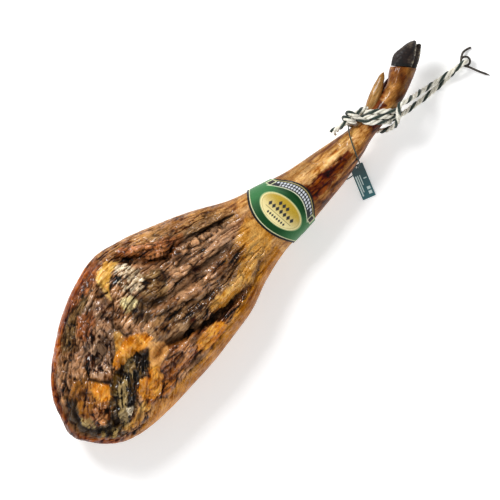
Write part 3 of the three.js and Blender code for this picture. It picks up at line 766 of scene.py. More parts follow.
# Single cracks: depth, width and path; a negative depth is a sharp ridge. Each is cut into the relief
# and painted too: painted shade in a crack, painted highlight along a ridge
CRACKS = [
    (6, 3.5, [
        (27, 2), (-2, 11), (-36, 26), (-72, 43), (-100, 40), (-119, 51), (-131, 66), (-147, 80), (-161, 93),
    ]),
    (4, 2.6, [(22, 2), (6, 7), (-31, 20), (-59, 33), (-85, 36)]),
    (4, 4, [(-70, 13), (-84, 18), (-109, 15)]),
    (5, 3, [(-11, -27), (-43, -19), (-79, -12), (-107, -4), (-140, -4), (-158, 2), (-176, 14)]),
    (4, 3, [(-118, -45), (-145, -26), (-174, -17), (-197, -4)]),
    (6, 2.8, [(-42, -94), (-81, -88), (-122, -85), (-160, -71), (-201, -56), (-216, -50), (-232, -54)]),
    (4, 4, [(2, -84), (-12, -83), (-25, -85), (-36, -91)]),
    (2.5, 2.2, [(-2, -62), (-24, -57), (-54, -56), (-70, -59)]),
    (2, 2, [(25, -67), (6, -69), (-13, -77)]),
    (5, 3, [(-205, 95), (-210, 67), (-220, 49), (-234, 38), (-247, 24)]),
    (4, 3, [(-256, 17), (-274, -1), (-294, -8)]),
    (4, 3.5, [(-270, 15), (-294, 10), (-310, 12)]),
    (3, 3, [(-272, 34), (-296, 24)]),
    (5, 4, [(-335, 11), (-322, -9), (-312, -23), (-312, -38)]),
    (5, 5, [(-382, -1), (-390, -17), (-395, -34), (-389, -52), (-374, -66), (-357, -76), (-341, -72)]),
    (6, 5, [(-351, -61), (-356, -77)]),
    (4, 4, [(-364, 1), (-384, -13), (-389, -31)]),
    (4, 3.5, [(-302, -72), (-312, -91), (-330, -97)]),
    (3, 2.5, [(-288, -87), (-306, -90)]),
    (4, 2.2, [(-278, -121), (-288, -119), (-300, -119)]),
    (4, 3, [(-251, -93), (-271, -94), (-289, -88)]),
    (4, 3, [(-196, -75), (-213, -71), (-229, -65)]),
    (3, 2.5, [(-217, -96), (-237, -96), (-258, -93)]),
    (3, 2.5, [(-163, -109), (-187, -101), (-210, -104)]),
    (3, 3, [(-206, 102), (-239, 93), (-265, 98)]),
    (4, 4, [(-325, 52), (-351, 34), (-373, 10)]),
    (3, 3, [(-302, 55), (-325, 46)]),
    (4, 3, [(-236, 24), (-239, 8), (-227, 1)]),
    (4, 5, [(-178, 22), (-196, 10), (-211, 12)]),
    (4, 5, [(-123, 33), (-127, 21), (-135, 12)]),
    (-3, 3, [(-147, 10), (-96, -1), (-66, -6), (-31, -9), (-2, -17)]),
    (-3, 3, [(-198, -3), (-168, -15), (-153, -21), (-126, -29)]),
    (-2, 3, [(-115, -18), (-75, -23)]),
    (-3, 3.5, [(-78, -94), (-114, -93), (-144, -87), (-179, -76), (-206, -69)]),
    (-2.5, 3, [(-311, 39), (-332, 32), (-355, 17)]),
    (-3, 3, [(-295, -13), (-308, -30), (-326, -44)]),
    (-3, 3, [(-297, -38), (-314, -47), (-328, -65), (-338, -83)]),
    (-2, 3, [(-58, 9), (-31, 2), (-8, -3)]),
]
# Rows of small hard beads: path, and the distance from bead to bead
BEAD_ROWS = [
    ([(-148, 82), (-133, 66), (-119, 56), (-105, 46), (-94, 36), (-82, 32)], 9.5),
    ([(-86, 31), (-70, 28), (-58, 22), (-45, 17), (-31, 11), (-13, 5)], 11.0),
    ([(-130, 88), (-115, 75), (-101, 63), (-82, 51)], 10.0),
]
BEAD_HEIGHT = 4.4
# Layers of the relief on the meat: the height of each in millimetres, on the face and at the bone end,
# and how much it shades the paint, as painted shade in its creases and painted highlight on its ridges
LAYERS = {
    "big": (2.8, 1.5, 0.9), "middle": (1.7, 1.0, 1.1), "small": (0.6, 0.6, 0.4), "crumpled": (0.7, 0.7, 0.25),
    "knobbly": (3.0, 3.0, 0.7), "crest": (1.5, 1.5, 0.95), "splits": (-2.0, -2.0, 0.0),
}
BONE_END = (320, 360)
plan_x, plan_y = ham_points[:, 0].copy(), ham_points[:, 1].copy()
# Marks carry on down the steep sides: round_y grows there with the drop from the top of the section
side_drop = np.sign(ham_share) * np.maximum(0, blended(3, ham_x) - ham_points[:, 2] + folds)
round_y = plan_y + 0.8 * side_drop
# Fine relief: the creases between the fibres of the meat run to the shank, and turn at the butt
meat = 1 - ease(ham_x, *MEAT_TO_SKIN)
butt = 1 - ease(plan_x + 0.25 * plan_y, *FIBRES_TURN)
wander = clouds(plan_x / 45, round_y / 30) - 0.5
across_meat = ham_share + side_drop / 130 + 0.10 * wander + 0.03 * (clouds(plan_x / 11, round_y / 9) - 0.5)
across_butt = (0.75 * round_y - 0.66 * plan_x) / 100 + 0.06 * wander
along_butt = 0.66 * plan_y + 0.75 * plan_x


def creased(a, b):
    """Rounded ridges with narrow valleys between them, from -0.7 to 0.3."""
    return np.minimum(1, 2.3 * np.abs(2 * noise(a, b) - 1)) ** 0.6 - 0.7


def fibres(length, number, butt_length, butt_number):
    """Creases that run with the meat: the length of each, and how many lie side by side."""
    with_meat = creased(plan_x / length, across_meat * number)
    return lerp(with_meat, creased(along_butt / butt_length, across_butt * butt_number), butt)


def crests(length, number, butt_length, butt_number):
    """Sharp thin ridges that run with the meat: 1 on the crest and 0 away from it."""
    with_meat = (1 - np.abs(2 * noise(plan_x / length + 3, across_meat * number + 5) - 1)) ** 4
    on_butt = (1 - np.abs(2 * noise(along_butt / butt_length + 3, across_butt * butt_number + 5) - 1)) ** 4
    return lerp(with_meat, on_butt, butt)


def split(length, number, width, seed):
    """Thin cracks along the meat, here and there: 1 in a crack and 0 away from it."""
    value = 2 * noise(plan_x / length + seed, across_meat * number + seed) - 1
    return np.exp(-((value / width) ** 2)) * ease(clouds(plan_x / 28 + seed, plan_y / 18), 0.34, 0.52)


relief = {
    "big": fibres(62, 13, 42, 9),
    "middle": fibres(19, 34, 14, 24),
    "small": fibres(7, 76, 6, 48),
    "crumpled": creased(plan_x / 9, round_y / 8),
    "knobbly": creased(plan_x / 23 + wander, round_y / 19) * (1 - ease(plan_x, -340, -290)),
    "crest": np.maximum(crests(48, 19, 27, 15), 0.9 * crests(17, 38, 11, 28)),
    "splits": np.maximum(split(30, 15, 0.14, 5.0), split(16, 27, 0.22, 9.0)) * meat,
}
drawn = np.zeros(len(ham_x))
# Painted shade in the cracks and round the beads where above 0, painted highlight on sharp ridges and bead
# domes where below
painted_shade_and_highlight = np.zeros(len(ham_x))
facing = ease(np.sin(ham_angle), 0.0, 0.3)
for depth, width, path in CRACKS:
    shift_x = 5 * (clouds(plan_x / 14, plan_y / 14 + 7) - 0.5)
    shift_y = 5 * (clouds(plan_x / 14 + 9, plan_y / 14) - 0.5)
    away, along = stroke_distance(path, plan_x + shift_x, plan_y + shift_y, 4 * width)
    ends = ease(along, -0.02, 0.12) * (1 - ease(along, 0.88, 1.02)) * facing
    drawn -= 0.6 * depth * ends * np.exp(-((away / width) ** 2))
    # How strong the painted shade in this crack is, or the painted highlight along this ridge
    painted_shade_strength = math.copysign(min(1.0, abs(depth) / 4), depth)
    painted_shade_and_highlight += painted_shade_strength * ends * np.exp(-((away / (0.8 * width)) ** 2))
for path, spacing in BEAD_ROWS:
    away, along = stroke_distance(path, plan_x, plan_y, 14)
    phase = along * round(math.dist(path[0], path[-1]) / spacing) + 2.2 * clouds(plan_x / 21, plan_y / 21)
    away = away + 4 * (clouds(plan_x / 9 + 30, plan_y / 9) - 0.5)
    bead_size = (0.36 + 0.36 * clouds(plan_x / 12, plan_y / 12 + 50)) * spacing
    from_middle = np.hypot((phase - np.floor(phase) - 0.5) * spacing, away) / bead_size
    dome = np.sqrt(np.clip(1 - from_middle**2, 0, 1)) * ease(along, 0, 0.02) * (1 - ease(along, 0.98, 1))
    drawn += BEAD_HEIGHT * dome
    # Painted shade round the foot of each bead, painted highlight on its dome
    painted_shade_and_highlight += 1.1 * ease(from_middle, 0.8, 1.05) * (1 - ease(away, 4, 7.5)) - 0.6 * dome
top_side = ease(np.sin(ham_angle), -0.25, 0.2)
at_bone = ease(-plan_x, *BONE_END)
fine = sum(lerp(high, at_bone_end, at_bone) * relief[name] for name, (high, at_bone_end, _) in LAYERS.items())
skin_line = round_y + 0.14 * plan_x
skin_folds = creased(ham_x / 34 + 2 * wander, skin_line / 6)
skin_creases = creased(ham_x / 13, skin_line / 3.4 + wander)
fine_skin = 0.9 * skin_folds + 0.6 * skin_creases + 0.3 * creased(ham_x / 6, skin_line / 5)
calm = np.ones(len(ham_x))
for low, high in SMOOTH_ZONES:
    calm *= 1 - 0.85 * ease(ham_x, low - 10, low) * (1 - ease(ham_x, high, high + 10))
calm *= 1 - 0.75 * ease(inside_distance(FAT_EDGE, plan_x, plan_y), 0, 8)
edge_x = BUTT_END + (FOOT_END - BUTT_END) * np.linspace(0, 1, 40) ** 2
silhouette = [*zip(edge_x, blended(1, edge_x)), *zip(edge_x[:0:-1], blended(2, edge_x[:0:-1]))]
from_edge = inside_distance(silhouette, plan_x, plan_y)
calm *= lerp(0.3, 1, ease(from_edge, 0, 12))
on_foot = ease(ham_x, *SKIN_TO_FOOT)
fine_skin = lerp(fine_skin, 2.4 * (clouds(plan_x / 16, plan_y / 12) - 0.5), on_foot)
lift = calm * (top_side * lerp(fine_skin, fine, meat) + drawn)
ham_points += vertex_normals(ham_points, ham_triangles) * lift[:, None]
ham_points[:, 2] = np.maximum(ham_points[:, 2], 0.0)

# Colours, each as the shade in the creases, between them and on the ridges; where the shade follows the
# relief, the first is painted shade and the last painted highlight
MEAT = ((44, 22, 9), (126, 87, 57), (204, 160, 124))
RIND = ((100, 62, 28), (158, 108, 60), (196, 150, 96))
RIM = ((84, 38, 8), (146, 80, 22), (190, 114, 42))
AMBER = ((146, 90, 44), (204, 158, 102), (236, 200, 154))
# Dark skin on the low side of the shank and foot, with painted shade where it turns from the light
DARK_AND_SHADED_SIDE = ((56, 28, 14), (112, 68, 38), (166, 112, 70))
# Dark reddish-brown skin, and painted shade: in a hollow of the shank, in the gaps by the ankle and the
# dewclaws, and as the rope's painted shadow
DARK_SKIN_AND_SHADE = ((34, 12, 4), (86, 45, 18), (148, 88, 44))
GOLDEN_SKIN = ((172, 112, 52), (216, 168, 104), (244, 212, 160))
FOOT = ((106, 66, 34), (150, 106, 63), (186, 142, 94))
BROWN_BAND = ((68, 36, 16), (142, 98, 62), (200, 160, 118))
FAT = ((140, 86, 26), (182, 128, 48), (216, 162, 80))
OCHRE = ((128, 74, 20), (194, 138, 62), (232, 188, 116))
ORANGE = ((140, 76, 14), (204, 130, 42), (236, 176, 90))
TAN = ((156, 104, 56), (204, 150, 88), (226, 178, 122))
YELLOW = ((182, 132, 54), (224, 178, 94), (250, 216, 142))
BEADS = ((38, 18, 7), (112, 64, 34), (192, 128, 80))
MOULD = ((112, 90, 64), (208, 188, 156), (255, 246, 226))
GREEN_MOULD = ((92, 72, 42), (184, 164, 110), (240, 228, 178))
SPECKLED = ((34, 22, 12), (88, 64, 42), (156, 128, 92))
# Dark meat in a cavity, with painted shade in it
DARK_CAVITY_AND_SHADE = ((20, 12, 8), (58, 40, 26), (128, 100, 74))
OLIVE_BAND = ((38, 22, 10), (92, 64, 38), (162, 126, 90))
GREY_MEAT = ((78, 52, 32), (134, 104, 76), (180, 148, 116))
PINK_MEAT = ((66, 36, 20), (142, 102, 74), (196, 156, 124))
RED_MEAT = ((50, 20, 5), (116, 64, 24), (188, 124, 66))
PINK_GLOSS = ((56, 24, 10), (128, 76, 42), (202, 146, 100))
BLACK = ((12, 9, 5), (42, 31, 18), (96, 76, 46))
RIBBON = ((44, 34, 20), (98, 82, 52), (176, 156, 112))
PURPLE = ((24, 12, 8), (92, 60, 42), (196, 160, 132))
RED_SPOT = ((60, 26, 10), (126, 70, 36), (176, 116, 74))
GREY_FLANK = ((40, 28, 16), (88, 68, 44), (140, 116, 84))
BONE = ((34, 20, 8), (98, 62, 30), (160, 110, 58))
BONE_RED = ((70, 32, 14), (142, 86, 48), (196, 140, 96))
PATCHES = [
    # colours, dullness, softness of the edge, outline
    (BROWN_BAND, 0.45, 5, [
        (-172, 140), (-112, 130), (-57, 100), (0, 62), (40, 22), (27, 2), (0, 13), (-28, 24), (-50, 37),
        (-70, 45), (-94, 62), (-120, 82), (-146, 101), (-170, 111),
    ]),
    (GREY_FLANK, 0.6, 5, [
        (-233, 103), (-234, 85), (-255, 79), (-285, 70), (-311, 56), (-324, 62), (-314, 79), (-285, 95),
        (-255, 104),
    ]),
    (RED_SPOT, 0.45, 4, [
        (-184, 120), (-183, 104), (-208, 99), (-228, 98), (-248, 102), (-267, 98), (-266, 107), (-232, 116),
        (-202, 121),
    ]),
    (BEADS, 0.3, 4, [
        (-140, 99), (-108, 71), (-80, 54), (-62, 43), (-73, 38), (-96, 35), (-121, 50), (-142, 74),
        (-158, 95),
    ]),
    (PINK_MEAT, 0.35, 6, [
        (-74, 3), (-42, 1), (-6, -2), (27, -11), (17, -24), (-10, -26), (-33, -29), (-65, -27), (-92, -20),
        (-97, -4),
    ]),
    (SPECKLED, 0.6, 5, [(-151, 48), (-131, 34), (-130, 14), (-151, 0), (-171, 12), (-169, 35)]),
    (MOULD, 0.75, 6, [
        (-169, 88), (-154, 78), (-147, 58), (-153, 40), (-171, 37), (-187, 45), (-190, 61), (-184, 76),
    ]),
    # A cavity: dark meat with painted shade in it
    (DARK_CAVITY_AND_SHADE, 0.4, 4, [(-181, 33), (-168, 14), (-160, 0), (-180, 4), (-199, 1), (-213, 7), (-202, 24)]),
    (GREEN_MOULD, 0.75, 4, [(-198, 48), (-186, 39), (-189, 26), (-204, 21), (-213, 29), (-210, 42)]),
    (OLIVE_BAND, 0.4, 5, [
        (-177, -10), (-150, -21), (-121, -38), (-94, -52), (-88, -64), (-110, -62), (-135, -58),
        (-164, -50), (-190, -38), (-198, -20),
    ]),
    (GREY_MEAT, 0.5, 4, [
        (-207, -19), (-188, -36), (-157, -48), (-126, -59), (-136, -72), (-163, -65), (-192, -57),
        (-214, -46), (-219, -30),
    ]),
    (OCHRE, 0.35, 5, [
        (26, -14), (35, -34), (33, -67), (13, -78), (-14, -76), (-35, -95), (-54, -90), (-77, -86),
        (-104, -84), (-123, -77), (-117, -64), (-97, -63), (-77, -59), (-67, -46), (-47, -37), (-26, -32),
        (-6, -26), (12, -18),
    ]),
    (OLIVE_BAND, 0.4, 5, [
        (-47, -37), (-18, -32), (-14, -46), (-30, -56), (-53, -60), (-74, -65), (-90, -61), (-87, -50),
        (-68, -43),
    ]),
    (RED_MEAT, 0.32, 4, [
        (-49, -94), (-74, -90), (-104, -89), (-144, -81), (-184, -65), (-215, -54), (-239, -60),
        (-270, -69), (-293, -81), (-301, -101), (-279, -103), (-233, -97), (-203, -97), (-174, -99),
        (-147, -98), (-117, -98), (-81, -96),
    ]),
    (PINK_GLOSS, 0.18, 4, [
        (-88, -93), (-119, -91), (-150, -84), (-186, -73), (-217, -62), (-233, -67), (-220, -82),
        (-194, -88), (-162, -95), (-129, -100),
    ]),
    (ORANGE, 0.25, 4, [
        (-154, -85), (-122, -93), (-125, -104), (-145, -105), (-168, -104), (-181, -98), (-173, -87),
    ]),
    (FAT, 0.42, 4, FAT_EDGE),
    (PURPLE, 0.25, 5, [
        (-234, 85), (-224, 64), (-232, 39), (-254, 20), (-271, 1), (-293, -9), (-311, -7), (-321, 9),
        (-308, 33), (-286, 57), (-260, 75),
    ]),
    (RED_SPOT, 0.35, 4, [(-268, 80), (-248, 72), (-258, 59), (-284, 50), (-288, 59)]),
    (BONE, 0.42, 4, [
        (-347, 20), (-330, 5), (-316, -21), (-320, -41), (-339, -53), (-363, -70), (-382, -57), (-392, -36),
        (-386, -14), (-370, 7),
    ]),
    (ORANGE, 0.4, 5, [(-329, -6), (-316, -25), (-329, -40), (-340, -37), (-342, -23), (-338, -10)]),
    (BONE_RED, 0.4, 3, [(-358, -36), (-345, -46), (-352, -58), (-363, -62), (-373, -53), (-372, -40)]),
    (BLACK, 0.3, 4, [
        (-233, -38), (-242, -52), (-257, -56), (-276, -60), (-292, -61), (-305, -72), (-322, -83),
        (-347, -92), (-366, -90), (-370, -76), (-360, -63), (-342, -54), (-324, -43), (-308, -25),
        (-289, -20), (-265, -21), (-244, -26),
    ]),
    (BLACK, 0.35, 4, [
        (-375, 13), (-376, -5), (-389, -25), (-386, -48), (-368, -66), (-349, -75), (-353, -91),
        (-371, -89), (-387, -66), (-399, -42), (-397, -15),
    ]),
    (RIBBON, 0.5, 2.5, [
        (-294, -36), (-293, -43), (-309, -53), (-322, -68), (-332, -81), (-347, -88), (-342, -73),
        (-327, -57), (-313, -44),
    ]),
    (RIBBON, 0.6, 2, [(-265, -23), (-259, -30), (-264, -37), (-272, -33), (-271, -26)]),
    (RIBBON, 0.6, 2, [(-280, -28), (-275, -36), (-282, -42), (-288, -36)]),
    (MOULD, 0.6, 2, [(-324, -70), (-318, -77), (-327, -86), (-333, -80)]),
    (RIBBON, 0.6, 2.5, [(-381, -60), (-370, -71), (-361, -86), (-370, -88), (-383, -70)]),
    (RIBBON, 0.6, 2.5, [(-385, -30), (-375, -38), (-377, -53), (-387, -49), (-390, -38)]),
    (ORANGE, 0.32, 3, [
        (-217, -15), (-214, -28), (-232, -28), (-248, -21), (-264, -18), (-288, -19), (-285, -8), (-266, 0),
        (-250, 3), (-235, -1),
    ]),
    (OCHRE, 0.4, 3, [(-245, 24), (-241, 17), (-246, 6), (-260, 0), (-268, 2), (-256, 12)]),
    (TAN, 0.4, 3, [(-222, -32), (-208, -46), (-213, -57), (-240, -63), (-247, -54), (-230, -43)]),
    (ORANGE, 0.3, 3, [
        (-276, -58), (-262, -66), (-256, -80), (-268, -93), (-284, -93), (-294, -80), (-291, -66),
    ]),
    (ORANGE, 0.35, 4, [(-255, -57), (-244, -64), (-248, -80), (-266, -83), (-268, -72)]),
    (OCHRE, 0.45, 4, [
        (-357, -90), (-337, -99), (-315, -100), (-296, -97), (-298, -86), (-314, -87), (-335, -92),
        (-350, -89),
    ]),
    (TAN, 0.42, 4, [(-281, -100), (-268, -115), (-271, -126), (-296, -126), (-307, -119), (-308, -107)]),
    (YELLOW, 0.35, 3, [
        (-172, 109), (-157, 92), (-174, 88), (-191, 82), (-201, 71), (-214, 57), (-213, 71), (-209, 85),
        (-207, 95), (-203, 103), (-189, 106),
    ]),
    # Darker skin in a hollow of the shank, with painted shade in it
    (DARK_SKIN_AND_SHADE, 0.3, 4, [
        (103, -58), (127, -54), (150, -54), (171, -59), (193, -63), (216, -66), (213, -77), (189, -80),
        (169, -81), (146, -82), (122, -81), (104, -78),
    ]),
    (GOLDEN_SKIN, 0.28, 6, [
        (134, -45), (163, -45), (185, -50), (211, -52), (238, -53), (229, -62), (207, -62), (185, -60),
        (162, -56), (135, -54),
    ]),
    # Painted shade in the deep joint at the low side of the ankle
    (DARK_SKIN_AND_SHADE, 0.45, 5, [(280, -62), (294, -76), (285, -84), (265, -85), (258, -77), (269, -69)]),
    # Painted shadow of the rope on the skin beside the ankle turns
    (DARK_SKIN_AND_SHADE, 0.5, 5, [(285, -34), (300, -36), (307, -52), (309, -67), (298, -64), (283, -47)]),
    # A dark red-brown spot by the hoof
    (DARK_SKIN_AND_SHADE, 0.4, 3, [(363, -46), (369, -53), (362, -61), (354, -57), (356, -50)]),
    # The low side of the foot by the hoof: darker skin with painted shade
    (DARK_AND_SHADED_SIDE, 0.4, 6, [(350, -70), (370, -64), (369, -72), (350, -80), (330, -84), (322, -81), (332, -74)]),
    # Painted shade in the gap beside the dewclaws
    (DARK_SKIN_AND_SHADE, 0.5, 4, [(323, -39), (338, -37), (338, -44), (321, -52), (309, -50)]),
]
# Colour of the painted shade in the cracks, furrows and splits
CRACK_SHADE = (22, 12, 7)
MEAT_DARKER = 0.06
# What the colours are multiplied by: uneven curing between deep and pale, clean fat, and on the steep sides
# painted shade, darker and warmer paint that takes off the pale floor's light they reflect
DEEP_CAST, PALE_CAST = np.array([0.66, 0.52, 0.38]), np.array([1.14, 1.06, 0.92])
FAT_CAST = np.array([1.16, 1.06, 0.86])
PAINTED_SIDE_SHADE = np.array([0.8, 0.68, 0.42])
# White light that an oily sheen adds to what is seen: a fixed part and a share, taken off the paint
SHEEN = 0.025
SHEEN_SHARE = 1.06
DARKEST = 0.003
# How far fat hides the cracks, and how far the edge of a patch runs in from its outline
CLEAN = {ORANGE: 0.6, TAN: 0.7, YELLOW: 0.6, FAT: 0.5, OCHRE: 0.25}
INSET = {MOULD: 3.5, GREEN_MOULD: 2.5, YELLOW: 1.5, RIBBON: 1.5, TAN: -2, ORANGE: -1}


def three_shades(colours, value):
    """Paint for a surface seen in these colours, less the white light that its oily sheen adds; the value runs
    from the first colour to the last, from painted shade to painted highlight where it follows the relief.
    """
    dark, mid, light = (np.maximum((ink(colour) - SHEEN) / SHEEN_SHARE, DARKEST) for colour in colours)
    value = value[:, None]
    return np.where(value < 0.5, lerp(dark, mid, value * 2), lerp(mid, light, value * 2 - 1))


blotches = clouds(plan_x / 14, round_y / 12 + 3)
# On the meat: random blotches of darker and paler cure, painted shade in the creases and painted highlight on
# ridges and crests
meat_shade = 0.34 + 1.5 * (blotches - 0.5)
meat_shade += sum(shading * relief[name] for name, (_, _, shading) in LAYERS.items())
# On the skin: painted shade in its folds and creases, painted highlight between them, and random blotches
skin_shade = 0.56 + 0.6 * skin_folds + 0.55 * skin_creases + 1.3 * (clouds(ham_x / 24, skin_line / 6) - 0.5)
foot_shade = 0.5 + 1.7 * (clouds(plan_x / 15, plan_y / 11) - 0.5)
foot_shade += 0.5 * (clouds(plan_x / 5, plan_y / 4) - 0.5)
skin_shade = lerp(skin_shade, foot_shade, ease(ham_x, 285, 325))
# Lighter along the sharp ridges: painted highlight
shade = np.clip(lerp(skin_shade, meat_shade, meat) - 0.3 * np.minimum(painted_shade_and_highlight, 0), 0, 1)
leg = ease(ham_x, *SKIN_TO_LEG)[:, None]
skin_colour = lerp(three_shades(AMBER, shade), three_shades(FOOT, shade), leg)
paint = lerp(skin_colour, three_shades(MEAT, shade), meat[:, None])
dull = lerp(0.34, 0.4, meat)
wobble = 9 * (clouds(plan_x / 11, plan_y / 11 + 40, 4) - 0.5)
speckle = ease(clouds(plan_x / 5, plan_y / 3.4 + 60) + 0.5 * (shade - 0.5), 0.43, 0.58)
mellow = 0.62 + 1.7 * (clouds(plan_x / 11 + 7, plan_y / 8) - 0.5)
clean = np.zeros(len(ham_x))
for colours, dullness, soft, outline in PATCHES:
    ragged = 0.55 * wobble + 3 * (shade - 0.5) if colours in CLEAN else wobble + 9 * (shade - 0.5)
    inside = inside_distance(outline, plan_x, plan_y) + ragged - INSET.get(colours, 0)
    weight = ease(inside, -0.6 * soft, 0.6 * soft) * ease(np.sin(ham_angle), -0.2, 0.1)
    if colours in (MOULD, GREEN_MOULD, RIBBON):
        weight *= lerp(speckle, 1, 0.1)
    own_shade = np.clip(lerp(shade, mellow, 0.55), 0, 1) if colours in CLEAN else shade
    paint = lerp(paint, three_shades(colours, own_shade), weight[:, None])
    dull = lerp(dull, dullness, weight)
    clean = lerp(clean, CLEAN.get(colours, 0.0), weight)
rim = 1 - ease(from_edge + 0.6 * wobble, 6, 12)
rim *= (1 - ease(plan_x, -230, -160)) * (1 - ease(-plan_y, 92, 108))
paint = lerp(paint, three_shades(RIM, shade), rim[:, None])
cast = clouds(plan_x / 22 + 80, round_y / 18)[:, None]
paint *= lerp(lerp(DEEP_CAST, PALE_CAST, ease(cast, 0.2, 0.75)), FAT_CAST, clean[:, None])
paint *= lerp(0.4, 1, ease(plan_x + 0.5 * wobble, BUTT_END + 4, BUTT_END + 19))[:, None]
# Painted shade on the steep sides: darker, warmer paint that offsets the floor's light they reflect
painted_side_shade = ((1 - ease(from_edge, 8, 28)) * (1 - leg[:, 0]))[:, None]
paint *= lerp(1, PAINTED_SIDE_SHADE, painted_side_shade)
# The low flank of the shank: partly darker skin, partly painted shade on the side away from the light
shaded_low_flank = ease(-ham_share + 0.02 * wobble, 0.5, 0.85) * ease(ham_x, 90, 130) * (1 - leg[:, 0])
paint = lerp(paint, three_shades(DARK_AND_SHADED_SIDE, shade), shaded_low_flank[:, None])
far_flank = ease(ham_share + 0.02 * wobble, 0.3, 0.9) * ease(ham_x, 20, 70) * (1 - leg[:, 0])
paint *= (1 - 0.35 * far_flank)[:, None]
# The low side of the foot darker: partly its own colour, partly painted shade
paint *= (1 - 0.42 * leg[:, 0] * ease(-ham_share, -0.1, 0.6))[:, None]
under = (1 - ease(np.sin(ham_angle), -0.4, -0.05)) * meat
paint = lerp(paint, three_shades(RIND, shade), under[:, None])
# Painted shade: deep furrows, cracks, bead edges and splits are darkened towards CRACK_SHADE, less on clean fat
painted_furrow_shade = 0.75 * ease(-folds, 2.0, 9.0) * meat
dark = np.clip(np.maximum(np.maximum(painted_shade_and_highlight, painted_furrow_shade), 0.8 * relief["splits"]) * calm, 0, 1) * (1 - clean)
paint *= (1 - MEAT_DARKER * meat * top_side * (1 - clean))[:, None]
paint = lerp(paint, ink(CRACK_SHADE), 0.94 * dark[:, None])
glints = ease(meat_shade, 0.5, 0.9) * ease(clouds(plan_x / 6, plan_y / 5), 0.45, 0.62)
wet = np.maximum(glints, ease(relief["crest"], 0.3, 0.7))
wet *= (1 - dark) * top_side * lerp(0.35, 1, meat) * (1 - 0.6 * clean)

meat_surface = Shader("cured_meat", Coat_Roughness=0.09, Coat_IOR=1.7, Specular_IOR_Level=0.06)
dullness = meat_surface.stored("dull", "Fac")
along_fibres = meat_surface.stored("flow", "Vector")
grains = ((1.0, along_fibres), (0.4, along_fibres), (420.0,))
fibre, streak, pore = (meat_surface.effect(GRAIN, *grain) for grain in grains)
tone, texture = (
    meat_surface.maths(
        "MULTIPLY_ADD", fibre[k], 0.4,
        meat_surface.maths("MULTIPLY_ADD", streak[k], 0.35, meat_surface.maths("MULTIPLY", pore[k], 0.25)),
    )
    for k in ("Tone", "Height")
)
meat_surface.feed("Base Color", meat_surface.mix(0.7, meat_surface.stored("paint", "Color"), tone, "OVERLAY"))
rough = meat_surface.maths("MULTIPLY_ADD", texture, 0.5, meat_surface.maths("SUBTRACT", dullness, 0.2))
meat_surface.feed("Roughness", rough)
oily = meat_surface.ramp(dullness, (0.2, 1.0), (0.6, 0.3))
meat_surface.feed("Coat Weight", meat_surface.maths("MULTIPLY", oily, meat_surface.stored("wet", "Fac")))
meat_surface.bump(texture, 0.0009)


def painted(made, **values):
    """Stores values on the vertices of a piece, for its material to read."""
    for name, value in values.items():
        kind, key = "FLOAT", "value"
        if name == "paint":
            kind, key, value = "FLOAT_COLOR", "color", np.column_stack([value, np.ones(len(value))])
        if name == "flow":
            kind, key = "FLOAT_VECTOR", "vector"
        kept = made.data.attributes.new(name, kind, "POINT").data
        kept.foreach_set(key, np.asarray(value, dtype=float).ravel())


ham = piece("cured_ham", ham_points, ham_triangles, [meat_surface.material])
flow_meat = np.column_stack([plan_x / 7, across_meat * 75, ham_angle])
flow_butt = np.column_stack([along_butt / 7, across_butt * 60, ham_angle])
flow_skin = np.column_stack([plan_x / 7, skin_line / 1.8, ham_points[:, 2] / 2.2])
flow = lerp(lerp(flow_skin, flow_meat, meat[:, None]), flow_butt, butt[:, None])
painted(ham, paint=paint, dull=dull, wet=wet, flow=flow)
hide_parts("ham")

# Dewclaws: two blunt claws of amber horn behind the foot, one above the other, dried fast to the skin.
# They are ridged lengthwise, with painted shade in the gap beside the foot.
DEWCLAWS = [
    # root inside the leg, tip and radius
    ((274, -57.0, 58.5), (347, -28.0, 66), 9.8),
    ((285, -62.0, 50), (346, -40, 50), 7.2),
]
CLAW_ROUNDNESS = [0.55, 0.86, 1, 0.98, 0.84, 0.56]
CLAW_HORN = ((82, 46, 18), (144, 102, 56), (188, 150, 100))
CLAW_RINGS, CLAW_SIDES = 60, 40


def capped_loft(rings, around):
    """Faces of a closed body whose rings of vertices follow one another, ready for one vertex at each end."""
    faces = ring_faces(rings, around)
    first, last = rings * around, (rings - 1) * around
    faces += [((j + 1) % around, j, first) for j in range(around)]
    faces += [(last + j, last + (j + 1) % around, first + 1) for j in range(around)]
    return faces


